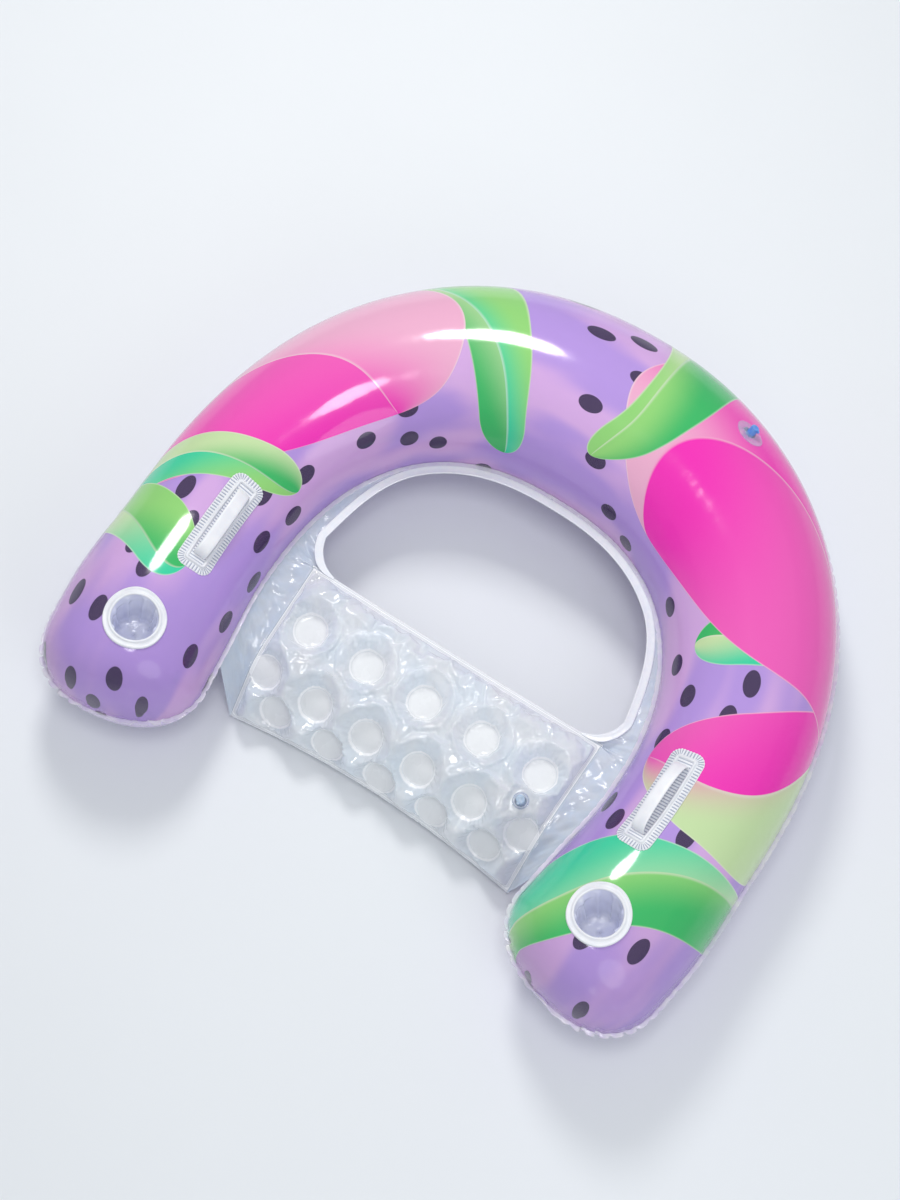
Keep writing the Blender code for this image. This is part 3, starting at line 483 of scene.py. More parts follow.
# Printed ribbons: middle along the tube, slant, half width, how far towards the inner seam they
# reach from the tube's top, then the colours of the two layers
RIBBONS = (
    (0.175, 0.32, 0.072, 0.30, GREEN, LIME, PALE_LIME, MINT),
    (0.440, 0.42, 0.118, 0.125, PALE_LIME, PINK, MAGENTA, PINK),
    (0.655, 0.34, 0.066, 0.110, MINT, PALE_LIME, LIME, GREEN),
    (0.880, -0.38, 0.215, 0.165, PINK, MAGENTA, MAGENTA, PALE_PINK),
    (1.130, -0.30, 0.058, 0.130, GREEN, LIME, PALE_LIME, LIME),
    (1.385, 0.36, 0.056, 0.200, LIME, MINT, PALE_LIME, GREEN),
    (1.655, 0.44, 0.235, 0.110, PALE_PINK, MAGENTA, PINK, MAGENTA),
    (1.925, 0.40, 0.072, 0.125, PALE_LIME, GREEN, MINT, LIME),
    (2.150, -0.34, 0.072, 0.045, LIME, GREEN, PALE_LIME, MINT),
)
SPOT_CELLS = (8.2, 13.5)
SPOT_R = 0.186
SPOT_SHARE = 0.30
RIBBON_SWAY = 0.032
RIBBON_SPLIT = 0.22
RIBBON_EDGE = 0.0012
PRINT_ALPHA = 0.88
CLEAR_ALPHA = (0.46, 0.60)
CLEAR_RUN = (0.10, 0.32)


def ribbon(n, u, v, drift, k):
    """Colour and cover of one printed ribbon, two flowing layers with a pale line between."""
    centre, slant, half, reach, first, second, third, fourth = RIBBONS[k]
    wave = n.math("SINE", v * 8.0 + 1.9 * k)
    across = u - centre + v * slant + wave * RIBBON_SWAY + drift
    swing = n.math("SINE", v * 6.0 + (2.3 * k + 0.8))
    taper = 1.1 * half
    past = n.math("DIVIDE", v - (reach - taper), taper, clamp=True)
    narrow = n.math("SQRT", 1.0001 - past * past)
    width = (half + swing * (half * 0.30)) * narrow
    share = across / width
    beside = (n.math("ABSOLUTE", share) - 1.0) * width
    inside = (1.0 - n.step(beside, -RIBBON_EDGE, 0.0)) * n.math("LESS_THAN", past, 0.999)
    inner = share + n.math("SINE", v * 9.0 + 1.3 * k) * 0.45
    blend = v * 2.6 + share * 0.50
    outer_fill = n.mix(n.step(blend, -0.45, 0.30), first, second)
    inner_fill = n.mix(n.step(blend - inner * 0.25, -0.35, 0.40), third, fourth)
    split = n.step(inner, RIBBON_SPLIT, RIBBON_SPLIT + 0.0015 / half)
    line = n.step(inner, RIBBON_SPLIT - 0.006 / half, RIBBON_SPLIT) * (1.0 - split)
    rim = n.step(beside, -0.0040, -RIBBON_EDGE)
    fill = n.mix(split, outer_fill, inner_fill)
    return n.mix(n.math("MAXIMUM", line, rim) * 0.45, fill, PALE_EDGE), inside


def printed_vinyl(name):
    """Glossy film printed with broad flowing ribbons and plain spots on lilac."""
    n = Nodes(name, Roughness=0.14, Coat_Weight=0.5, Coat_Roughness=0.03, IOR=1.5)
    uv, u, v = n.sheet()
    drift = (n.noise(1.6, 1.0, uv, 0.4) - 0.5) * 0.30
    bands = n.noise(1.0, 2.0, n.mapped(uv, (3.0, 9.0), 0.25), 0.4)
    base = n.mix(n.step(bands, 0.40, 0.62), LILAC, PALE_LILAC)
    cells = {"Vector": n.mapped(uv, SPOT_CELLS, 0.5), "Scale": 1.0, "Randomness": 0.7}
    spots = n.add("TexVoronoi", cells, voronoi_dimensions="2D")
    pick = n.value("SeparateColor", 0, {0: Value(n, spots.outputs["Color"])})
    spot = 1.0 - n.step(Value(n, spots.outputs["Distance"]), SPOT_R, SPOT_R + 0.010)
    cover = spot * n.step(pick, SPOT_SHARE, SPOT_SHARE + 0.02)
    colour = n.mix(cover, base, PLUM)
    for k in range(len(RIBBONS)):
        fill, inside = ribbon(n, u, v, drift, k)
        colour = n.mix(inside, colour, fill)
        cover = n.math("MAXIMUM", cover, inside)
    grain = n.noise(900.0, 1.0, uv)
    n.out("Base Color", n.mix(grain * 0.05, colour, MILK))
    from_tip = n.math("MINIMUM", u, 2 * HALF_LENGTH - u)
    clear = n.spread(n.step(from_tip, *CLEAR_RUN), 0.0, 1.0, *CLEAR_ALPHA)
    n.out("Alpha", clear + cover * (PRINT_ALPHA - clear))
    n.out("Roughness", n.spread(n.noise(14.0, 3.0, uv), 0.0, 1.0, 0.08, 0.17))
    folds = n.noise(1.0, 2.0, n.mapped(uv, (5.0, 60.0), 0.22)) * (n.step(v, 0.06, 0.16) * 0.9)
    n.bump(n.noise(22.0, 2.0, uv) + folds + grain * 0.02, 0.22, 0.002)
    return n.mat


def film(name, colour, deep, alpha, roughness=0.12, grain=30.0, strength=0.3, coat=0.4):
    """Clear or tinted film with faint cloudiness, more open where it is thin."""
    n = Nodes(name, Roughness=roughness, Coat_Weight=coat, Coat_Roughness=0.05, IOR=1.5)
    cloud = n.noise(grain, 4.0, n.place)
    n.out("Base Color", n.mix(n.step(cloud, 0.3, 0.7), colour, deep))
    n.out("Alpha", n.veil(cloud, *alpha))
    n.out("Roughness", n.spread(cloud, 0.0, 1.0, roughness * 0.7, roughness * 1.4))
    n.bump(n.fine_grain(), strength, 0.0015)
    return n.mat


def quilted_film(name):
    """Milky clear film of the seat, whiter on its welded discs and along its welded hem, with a thin whiter
    ring round each disc that is partly its weld line and partly a painted highlight.
    """
    n = Nodes(name, Roughness=0.1, Coat_Weight=0.8, Coat_Roughness=0.03, IOR=1.5)
    _, away, edge = n.sheet()
    cloud = n.noise(16.0, 4.0, n.place)
    disc = 1.0 - n.step(away, DISC_R - 0.0012, DISC_R - 0.0004)
    # Thin ring round each disc's edge: partly the weld line, partly a painted highlight along the crease
    # round the disc.
    ring = n.step(away, DISC_R - 0.0010, DISC_R) * (1.0 - n.step(away, DISC_R + 0.0008, DISC_R + 0.0020))
    hem = 1.0 - n.step(edge, HEM - 0.001, HEM)
    lines = n.step(n.math("COSINE", edge * (2 * math.pi / HEM_LINE_PITCH)), 0.55, 0.9)
    weld = n.math("MAXIMUM", ring, hem * lines)
    colour = n.mix(n.step(cloud, 0.3, 0.7), (0.94, 0.97, 1.0), (0.84, 0.92, 1.0))
    colour = n.mix(n.math("MAXIMUM", disc, hem * 0.7), colour, (0.96, 0.98, 1.0))
    # The whiter weld lines include each disc's ring, which is partly a painted highlight.
    n.out("Base Color", n.mix(weld, colour, (0.97, 0.98, 1.0)))
    alpha = n.veil(cloud, 0.50, 0.90) + (disc + hem * 0.6) * 0.20 + weld * 0.3
    n.out("Alpha", n.math("MINIMUM", alpha, 1.0))
    n.out("Roughness", n.spread(cloud + disc * 0.8, 0.2, 1.6, 0.06, 0.32))
    n.bump(n.fine_grain() + weld * 0.5, 0.35, 0.0015)
    return n.mat


def moulding(name, colour, shade, ribbed=False):
    """White moulded vinyl; a ribbed one has painted shade, greyer in the grooves between its ribs."""
    roughness = 0.36
    n = Nodes(name, Roughness=roughness, Subsurface_Weight=0.15, Subsurface_Scale=0.004, IOR=1.48)
    n.shader.inputs["Subsurface Radius"].default_value = (1.0, 0.8, 0.7)
    tone = n.noise(40.0, 3.0, n.place)
    surface = n.mix(n.step(tone, 0.3, 0.75), colour, shade)
    if ribbed:
        _, turn, inset = n.sheet()
        # Painted shade: grey-blue in the grooves between the flange's ribs, where shade falls.
        groove = n.step(n.math("COSINE", turn * (2 * math.pi)), 0.1, -0.8)
        flange = n.step(inset, 0.0006, 0.0016) * (1.0 - n.step(inset, 0.0100, 0.0114))
        surface = n.mix(groove * (flange * 0.90), surface, (0.36, 0.39, 0.50))
    n.out("Base Color", surface)
    n.out("Roughness", n.spread(tone, 0.0, 1.0, roughness * 0.85, roughness * 1.2))
    n.bump(n.noise(1600.0, 2.0, n.place), 0.12, 0.0002)
    return n.mat


printed = printed_vinyl("printed_film")
under = film("under_film", (0.80, 0.68, 0.94), (0.71, 0.57, 0.90), (0.96, 1.0), 0.16, 12.0, 0.3)
seam_film = film("seam_film", (0.95, 0.93, 0.99), (0.84, 0.78, 0.95), (0.62, 0.95), 0.22, 60.0, 0.5)
seat_film = quilted_film("seat_film")
skirt_film = film("skirt_film", (0.84, 0.91, 0.99), (0.74, 0.84, 0.97), (0.38, 0.85), 0.16, 40.0, 0.5, 0.6)
rim_film = film("rim_film", (0.94, 0.96, 0.99), (0.88, 0.92, 0.97), (0.92, 1.0), 0.22, 90.0, 0.4)
well_film = film("well_film", (0.88, 0.90, 1.0), (0.80, 0.82, 1.0), (0.96, 1.0), 0.2, 24.0, 0.4)
white = moulding("white_moulding_surface", (0.86, 0.87, 0.90), (0.80, 0.81, 0.86))
white_with_painted_groove_shade = moulding("ribbed_moulding_painted_groove_shade", (0.88, 0.89, 0.92), (0.82, 0.83, 0.88), ribbed=True)
stem_blue = film("valve_blue", (0.16, 0.40, 0.92), (0.10, 0.32, 0.86), (0.75, 1.0), 0.12, 200.0, 0.1)
stem_pale = film("valve_pale_blue", (0.66, 0.80, 0.95), (0.56, 0.72, 0.92), (0.55, 0.95), 0.12, 200.0, 0.1)
valve_clear = film("valve_clear", (0.74, 0.82, 0.98), (0.62, 0.72, 0.96), (0.10, 0.42), 0.12, 150.0, 0.2)


# Tube

PANEL_ROWS = 620
PANEL_COLUMNS = 44
PLEAT_PITCH = 0.0215
PLEAT_DEPTH = 0.0046
PLEAT_REACH = 0.018
PLEATS = 400
END_PLEAT_RUN = 0.13
EDGE_STEPS = 1500
EDGE_NOTCH = 0.0040
EDGE_WOBBLES = 260
SWELL = 0.0006


def cap_depth(turn):
    """Distance from the tip at each step of a quarter turn over an arm's rounded end."""
    return END_LENGTH * (1 - np.cos(turn) ** (2 / END_FULLNESS))


def along_positions(rows):
    """Positions from tip to tip, closer together at the rounded ends."""
    cap = cap_depth(np.linspace(0, np.pi / 2, 26)[:-1])
    middle = np.linspace(END_LENGTH, 2 * HALF_LENGTH - END_LENGTH, rows - 2 * len(cap))
    return np.concatenate([cap, middle, 2 * HALF_LENGTH - cap[::-1]])


def end_phase(q):
    return np.clip(1 - from_tip(q) / END_PLEAT_RUN, 0, 1)


def tip_run():
    """Distance over the surface from the straight part of an arm to its tip, below zero there."""
    s = np.append(cap_depth(np.linspace(0, np.pi / 2, 400)), HALF_LENGTH)
    climb = np.where(s[1:] <= END_LENGTH, np.diff(tube_radius(s) * end_share(s)), 0)
    run = np.concatenate([[0], np.cumsum(np.hypot(np.diff(s), climb))])
    return s, run - run[-1] + HALF_LENGTH


TIP_S, TIP_RUN = tip_run()
PHASE_NOISE = np.cumsum(rng.normal(0, 0.35, PLEATS))
AMOUNT_NOISE = rng.uniform(0.35, 1.25, PLEATS)


def edge_length(outer):
    """Distance along the seam of each position, on the outer or the inner side."""
    q = np.linspace(0, 2 * HALF_LENGTH, 4000)
    return q, run_along(tube(q, 0.0 if outer else math.pi))


EDGE_RUN = {True: edge_length(True), False: edge_length(False)}


def pleat(q, outer):
    """Height of the little pleats along a seam, from 0 to 1, and how strong they are."""
    place = np.interp(q, *EDGE_RUN[outer]) / PLEAT_PITCH
    phase = np.interp(place, np.arange(PLEATS), PHASE_NOISE)
    amount = np.interp(place + (0 if outer else 150), np.arange(PLEATS), AMOUNT_NOISE)
    wave = 0.5 + 0.5 * np.cos(2 * np.pi * place + phase)
    strength = (0.22 if outer else 0.12) + 1.3 * end_phase(q)
    return wave ** 3.5, amount * strength


def tube_surface(q, angle, rise=0.0):
    """The tube with its pleats by the seams, soft dents and unevenness."""
    q, angle = np.broadcast_arrays(q, angle)
    radius = tube_radius(from_tip(q)) * end_share(from_tip(q))
    spread = PLEAT_REACH * (1 + end_phase(q))
    depth = np.zeros(q.shape)
    for outer in (True, False):
        away = radius * np.abs(angle if outer else math.pi - angle)
        wave, strength = pleat(q, outer)
        depth += PLEAT_DEPTH * strength * wave * np.exp(-(away / spread) ** 1.2)
    swell = SWELL * np.sin(q * 23.0 + 2.0 * angle) * np.sin(angle)
    return tube(q, angle, rise - depth + swell)


def half_panel(name, lower, mat, slot, node):
    """Upper or lower half of the tube, with a flat map of the sheet in metres."""
    share = np.linspace(0, 1, PANEL_COLUMNS)
    angle = np.pi * (0.45 * smooth(share) + 0.55 * share)
    q, angle = np.meshgrid(along_positions(PANEL_ROWS), angle, indexing="ij")
    s = from_tip(q)
    points = tube_surface(q, angle)
    if lower:
        points[..., 2] = 2 * (tube_radius(s) - FLOOR_SINK) - points[..., 2]
    points[..., 2] = (points[..., 2].clip(0) + (-SEAM_GAP if lower else SEAM_GAP)).clip(0)
    along = np.interp(s, TIP_S, TIP_RUN)
    along = np.where(q > HALF_LENGTH, 2 * HALF_LENGTH - along, along)
    uv = np.stack([along, (angle - np.pi / 2) * tube_radius(s) * end_share(s)], -1)
    faces = grid_faces(*q.shape, flip=lower)
    return add_mesh(name, points, faces, mat, slot, (node,), uv)


def seam_edge(name):
    """The welded edge that stands out round the tube, scalloped between its pleats."""
    q_out = np.linspace(0.0, 2 * HALF_LENGTH, EDGE_STEPS)
    base, waves = [], []
    for outer, q in ((True, q_out[:-1]), (False, q_out[:0:-1])):
        wave, strength = pleat(q, outer)
        base.append(tube_surface(q, 0.0 if outer else math.pi))
        waves.append(wave * strength)
    base, wave = np.vstack(base), np.concatenate(waves)
    run = np.roll(base, -2, 0) - np.roll(base, 2, 0)
    out = np.column_stack([run[:, 1], -run[:, 0], np.zeros(len(run))])
    out = unit(sum(np.roll(out, k - 4, 0) * weight for k, weight in enumerate(np.hanning(9))))
    count = len(base)
    place = np.arange(count)
    wobble = np.interp(place, np.linspace(0, count, EDGE_WOBBLES), rng.normal(0, 0.5, EDGE_WOBBLES))
    rows = []
    for share in (-0.15, 0.0, 0.25, 0.5, 0.75, 1.0):
        reach = SEAM_WIDTH * share * (1.0 + 0.10 * wobble) - EDGE_NOTCH * wave * max(share, 0)
        row = base + out * reach[:, None]
        row[:, 2] += 0.0011 * share * np.sin(place * 0.21 + 2.2 * wobble) * (0.3 + wave)
        rows.append(row)
    faces = grid_faces(len(rows), count, wrap=True, flip=True)
    edge = add_mesh(name, rows, faces, seam_film, "under_vinyl")
    thicken(edge, 0.0011, 0.0)
    apply_modifiers(edge)


class Seat:
    """A place on the tube where a fitting sits: a along the tube, b towards the seat."""

    def __init__(self, s, turn, side):
        self.s = s
        self.angle = math.pi / 2 + turn
        self.side = side
        self.radius = float(tube_radius(s))
        self.origin = self.draped(0.0, 0.0, 0.0)
        self.along = unit(self.draped(SHORT_STEP, 0.0, 0.0) - self.origin)
        self.up = side * unit(np.cross(self.along, self.draped(0.0, SHORT_STEP, 0.0) - self.origin))
        self.across = side * unit(np.cross(self.up, self.along))

    def rigid(self, a, b, h):
        a, b, h = np.broadcast_arrays(a, b, h)
        return self.origin + a[..., None] * self.along + b[..., None] * self.across + h[..., None] * self.up

    def draped(self, a, b, h):
        points = half_tube(self.s + np.asarray(a, float), self.angle + np.asarray(b, float) / self.radius, h)
        points[..., 0] *= self.side
        return points


def near(radius, height, *offsets):
    """Points of a profile by their offsets from a radius and a height, in hundredths of a millimetre."""
    return [(radius + out * 1e-5, height + up * 1e-5) for out, up in offsets]


def turned(profile, steps, place, closed=True):
    """Mesh of a profile turned round the axis; place maps (radius, turn, height) to points."""
    profile = np.asarray(profile, float)
    radius, turn = np.meshgrid(profile[:, 0], full_turn(steps), indexing="ij")
    faces = grid_faces(len(profile), steps, wrap=True)
    if closed:
        last = (len(profile) - 1) * steps
        for j in range(steps):
            k = (j + 1) % steps
            faces.append((last + j, j, k, last + k))
    height = np.broadcast_to(profile[:, 1:], radius.shape)
    return place(radius, turn, height).reshape(-1, 3), faces


def cup(word, side):
    """Moulded ring and soft fluted well of one cup holder."""
    seat = Seat(CUP_ALONG, CUP_TURN, side)
    mouth = CUP_MOUTH_R
    outline = near(RING_R, 0.0, (30, 40), (30, 180), (-40, 300), (-180, 340), (-320, 300), (-420, 220))
    outline += near(RING_R, 0.0, (-580, 190)) + near(mouth, 0.0, (550, 200), (420, 260))
    outline += near(mouth, RING_HEIGHT, (280, 0), (100, 10), (-20, -100))
    outline += near(mouth, 0.0, (-30, 120), (100, 100)) + near(RING_R, 0.0, (-600, 100))
    wobble = rng.uniform(0, 2 * np.pi, 3)

    def ring_place(radius, turn, height):
        soft = 0.0005 * np.sin(2 * turn + wobble[0]) + 0.0003 * np.sin(5 * turn + wobble[1])
        reach = radius + soft * (radius > mouth + 0.004)
        return seat.draped(reach * np.cos(turn), reach * np.sin(turn), height)

    verts, faces = turned(catmull(outline, 4), 120, ring_place)
    clean(add_mesh("cup_ring_soft_" + word, verts, faces, white, "white_moulding", ("cup_ring_" + word,)))

    fall = np.concatenate([np.linspace(0, 0.1, 5), np.linspace(0.14, 0.9, 22), np.linspace(0.92, 1.0, 6)])
    inner = [(0.0005, -CUP_DEPTH), (0.010, -CUP_DEPTH), (0.020, -CUP_DEPTH)]
    for f in fall[::-1]:
        tuck = 0.0045 * max((f - 0.9) / 0.1, 0.0) ** 2
        inner.append((between(mouth, CUP_FLOOR_R, f) - tuck, -CUP_DEPTH * f))
    inner += [(mouth, 0.0009), (mouth + 0.003, 0.0009), (mouth + 0.0065, 0.0008)]

    def well_place(radius, turn, height):
        depth = np.clip(-height / CUP_DEPTH, 0, 1)
        crease = np.abs(np.cos(CUP_FOLDS / 2 * turn)) ** 9
        lobe = 0.5 + 0.5 * np.cos(CUP_FOLDS * turn)
        fold = CUP_FOLD_DEPTH * smooth(depth / 0.05) * (0.45 + 0.55 * np.sqrt(depth))
        slack = 0.0004 * np.sin(3 * turn + 13 * depth + wobble[2]) * np.sin(np.pi * depth)
        reach = radius - (fold * (0.15 * lobe + 0.85 * crease) + slack) * np.clip(radius / 0.03, 0, 1) ** 2
        a, b, hold = reach * np.cos(turn), reach * np.sin(turn), 1.0 - smooth(depth / 0.35)
        return seat.rigid(a, b, height) * (1 - hold)[..., None] + seat.draped(a, b, height) * hold[..., None]

    verts, faces = turned(inner, 144, well_place, closed=False)
    well = add_mesh("cup_well_soft_" + word, verts, faces, well_film, "lilac_well", ("cup_well_" + word,))
    clean(well)
    thicken(well, LINING)
    apply_modifiers(well)
    return seat


def drill(panel, place, radius, depth=0.05, open_sheet=True):
    """Opens a panel where a fitting passes through it; a closed body keeps the pocket's wall."""
    origin, up, along = (Vector(part) for part in place)
    axes = Matrix((along, up.cross(along), up)).transposed().to_4x4()
    axes.translation = origin
    bm = bmesh.new()
    bmesh.ops.create_cone(bm, cap_ends=True, segments=96, radius1=radius, radius2=radius, depth=depth)
    mesh = bpy.data.meshes.new("drill")
    bm.to_mesh(mesh)
    bm.free()
    tool = put("drill", mesh)
    tool.matrix_world = axes
    cut = panel.modifiers.new("drill", "BOOLEAN")
    cut.operation = "DIFFERENCE"
    cut.solver = "EXACT"
    cut.object = tool
    apply_modifiers(panel)
    bpy.data.objects.remove(tool)
    if not open_sheet:
        return
    bm = bmesh.new()
    bm.from_mesh(panel.data)
    stray = []
    for face in bm.faces:
        off = face.calc_center_median() - origin
        height = off.dot(up)
        if abs(height) < depth * 0.501 and (off - up * height).length < radius:
            stray.append(face)
    bmesh.ops.delete(bm, geom=stray, context="FACES")
    bm.to_mesh(panel.data)
    bm.free()


def outline_loop(inset, count):
    """Rounded rectangle of the handle, inset by a distance, with each point's share of the way round.

    It starts at the middle of an end: the centre of the corner's circle stays while the outline turns,
    and moves while the outline runs straight.
    """
    corner = HANDLE_CORNER_R
    straight_a, straight_b, arc = HANDLE_LENGTH / 2 - corner, HANDLE_WIDTH / 2 - corner, math.pi / 2 * corner
    side_a, side_b = (2 * straight_a, arc), (2 * straight_b, arc)
    ends = np.cumsum([0, straight_b, arc, *side_a, *side_b, *side_a, straight_b])
    at = np.linspace(0, ends[-1], count, endpoint=False)
    turn = np.interp(at, ends, math.pi / 2 * np.array([0, 0, 1, 1, 2, 2, 3, 3, 4, 4]))
    a = np.interp(at, ends, straight_a * np.array([1, 1, 1, -1, -1, -1, -1, 1, 1, 1]))
    b = np.interp(at, ends, straight_b * np.array([0, 1, 1, 1, 1, -1, -1, -1, -1, 0]))
    return polar(corner - inset, turn)[:, :2] + np.column_stack([a, b]), at / ends[-1]


# The handle flange's section: inset, height and how much of a rib stands there
FLANGE_LEVELS = (
    (0.0, 0.0004, 0.0), (0.0, 0.0009, 0.3), (0.0006, 0.0013, 0.7), (0.0016, 0.0014, 1.0),
    (0.0040, 0.0014, 1.0), (0.0070, 0.0015, 1.0), (0.0095, 0.0016, 1.0), (0.0110, 0.0018, 0.6),
    (0.0120, 0.0022, 0.0), (0.0128, 0.0040, 0.0), (0.0134, 0.0051, 0.0), (0.0144, 0.0056, 0.0),
    (0.0158, 0.0055, 0.0), (0.0167, 0.0048, 0.0), (0.0174, 0.0034, 0.0), (0.0184, 0.0026, 0.0),
)
FLANGE_POINTS = 1200
HANDLE_FLOOR_INSET = 0.0178
STRAP_STEPS = 72
STRAP_AROUND = 28


def handle(word, side):
    """Grab handle: ribbed flange, floor and strap."""
    seat = Seat(HANDLE_ALONG, HANDLE_TURN, side)
    rows, sheet = [], []
    for inset, height, rib in FLANGE_LEVELS:
        loop, share = outline_loop(inset, FLANGE_POINTS)
        wave = 0.5 + 0.5 * np.cos(2 * np.pi * HANDLE_RIBS * share)
        if inset < 0.001:
            loop = loop * (1.0 + 0.01 * (wave - 0.5))[:, None]
        lift = height - 0.0004 * rib + 0.0013 * rib * (1 - (1 - wave) ** 1.5)
        rows.append(seat.draped(loop[:, 0], loop[:, 1], lift))
        # The flange's map, turn counted in ribs and inset, places the ribbed material's painted groove shade.
        sheet.append(np.column_stack([HANDLE_RIBS * share, np.full(FLANGE_POINTS, inset)]))
    flange = add_mesh("handle_flange_" + word, rows, grid_faces(len(rows), FLANGE_POINTS, wrap=True),
                      white_with_painted_groove_shade, "white_moulding", ("handle_" + word,), sheet)

    half_a, half_b = HANDLE_LENGTH / 2 - HANDLE_FLOOR_INSET, HANDLE_WIDTH / 2 - HANDLE_FLOOR_INSET
    a, b = np.meshgrid(np.linspace(-half_a, half_a, 90), np.linspace(-half_b, half_b, 24), indexing="ij")
    dish = 0.0028 - 0.0004 * (1 - (a / half_a) ** 8) * (1 - (b / half_b) ** 4)
    lines = 0.00016 * np.cos(np.pi * a / FLOOR_RIB_PITCH) ** 8
    # The floor's map lays the ribbed material's painted groove shade over its fine ribs; its inset sits in
    # the flange's middle, where that painted shade is full.
    floor_groove_shade_map = np.stack([a / FLOOR_RIB_PITCH, np.full(a.shape, FLANGE_MIDDLE)], -1)
    floor = add_mesh("handle_floor_" + word, seat.draped(a, b, dish + lines), grid_faces(*a.shape),
                     white_with_painted_groove_shade, "white_moulding", uv=floor_groove_shade_map)

    t = np.linspace(0, 1, STRAP_STEPS)
    lift = np.sin(np.pi * t).clip(0) ** 0.85
    root = 0.0009 + STRAP_THICK / 2
    height = between(root, 0.0022 + STRAP_RISE + STRAP_THICK / 2, lift)
    along = -STRAP_SPAN / 2 * np.cos(np.pi * t)
    spread = 1.0 + 0.16 * (1 - lift)
    lean = np.arctan(np.clip(np.gradient(height, along), -3, 3))
    cb, sb = polar(1.0, full_turn(STRAP_AROUND))[:, :2].T
    b = STRAP_WIDTH / 2 * np.sign(cb) * np.abs(cb) ** 0.55
    up = STRAP_THICK / 2 * np.sign(sb) * np.abs(sb) ** 0.7
    groove = 1.0 - 0.18 * np.exp(-(b / 0.0045) ** 2) * (sb > 0)
    points = seat.draped(along[:, None] - np.outer(np.sin(lean), up * groove), np.outer(spread, b),
                         height[:, None] + np.outer(np.cos(lean), up * groove))
    strap = add_mesh("handle_strap_" + word, points, closed_faces(*points.shape[:2]), white, "white_moulding")
    for piece in (floor, flange, strap):
        clean(piece)
    for piece in (floor, flange):
        thicken(piece, LINING)


upper = half_panel("tube_upper_film", False, printed, "printed_vinyl", "tube_upper_panel")
lower = half_panel("tube_lower_film", True, under, "under_vinyl", "tube_lower_panel")
for side, word in ((1, "right"), (-1, "left")):
    holder = cup(word, side)
    drill(upper, (holder.origin, holder.up, holder.along), CUP_MOUTH_R + 0.0012)
    handle(word, side)
seam_edge("tube_welded_edge")


# Sling seat

def sling_line(v):
    run = np.minimum(v, SEAT_BEND_FROM)
    y = SEAT_REAR_Y - run * math.cos(SEAT_SLOPE_REAR)
    z = -SEAT_REAR_DROP - run * math.sin(SEAT_SLOPE_REAR)
    rest = np.maximum(v - SEAT_BEND_FROM, 0)
    turn = np.minimum(rest / SEAT_BEND_R, SEAT_SLOPE_FRONT - SEAT_SLOPE_REAR)
    slope = SEAT_SLOPE_REAR + turn
    y -= SEAT_BEND_R * (np.sin(slope) - math.sin(SEAT_SLOPE_REAR))
    z -= SEAT_BEND_R * (math.cos(SEAT_SLOPE_REAR) - np.cos(slope))
    straight = rest - turn * SEAT_BEND_R
    y -= straight * np.cos(slope)
    z -= straight * np.sin(slope)
    return y - MID_Y, z, slope


def seat_front(x):
    return SEAT_LENGTH + SEAT_FRONT_BOW * (x / SEAT_HALF_FRONT) ** 2


SEAT_SIDE_LENGTH = float(seat_front(SEAT_HALF_FRONT))


def seat_half(v):
    return SEAT_HALF_REAR + (SEAT_HALF_FRONT - SEAT_HALF_REAR) * v / SEAT_SIDE_LENGTH


def seat_point(x, v, h):
    x, v, h = np.broadcast_arrays(np.asarray(x, float), v, h)
    y, z, slope = sling_line(v)
    sag = SEAT_SAG * np.clip(1 - (x / seat_half(v)) ** 2, 0, None)
    return np.stack([x, y - h * np.sin(slope), SEAT_LEVEL + z - sag + h * np.cos(slope)], -1)


DIMPLES = np.array([((k - (count - 1) / 2) * pitch, v)
                    for v, count, pitch in DIMPLE_ROWS for k in range(count)])


def bulge(distance, rise):
    q = np.clip(distance / rise, 0, 1)
    return np.sqrt(1 - (1 - q) ** 2)


def edge_distance(x, v):
    return np.minimum(np.minimum(seat_half(v) - np.abs(x), v), seat_front(x) - v)


def dimple_distance(x, v):
    return np.min([np.hypot(x - cx, v - cv) for cx, cv in DIMPLES], axis=0)


def valve_distance(x, v):
    return np.hypot(x - SEAT_VALVE_X, v - SEAT_VALVE_V) - SEAT_VALVE_R - SEAT_VALVE_LAND


def crown(x, v, valve):
    """Height of the pad over its middle sheet, level round the valve on the upper side."""
    full = SEAT_CROWN * bulge(edge_distance(x, v) - HEM, HEM_RISE)
    for cx, cv in DIMPLES:
        full = full * bulge(np.hypot(x - cx, v - cv) - DISC_R, DISC_RISE)
    if valve:
        keep = smooth(valve_distance(x, v) / 0.010)
        full = full * keep + VALVE_LEVEL * SEAT_CROWN * (1 - keep)
    return full


def hem_loop(inset, spacing):
    """Points along the pad's outline, inset by a distance."""
    rear, front = seat_half(0.0) - inset, seat_half(SEAT_SIDE_LENGTH) - inset
    behind = np.linspace(-rear, rear, int(2 * rear / spacing), endpoint=False)
    v = np.linspace(inset, seat_front(front) - inset, int(SEAT_SIDE_LENGTH / spacing), endpoint=False)
    ahead = np.linspace(front, -front, int(2 * front / spacing), endpoint=False)
    side = np.column_stack([seat_half(v) - inset, v])
    return np.vstack([np.column_stack([behind, np.full(len(behind), inset)]), side,
                      np.column_stack([ahead, seat_front(ahead) - inset]), (side * [-1, 1])[::-1]])


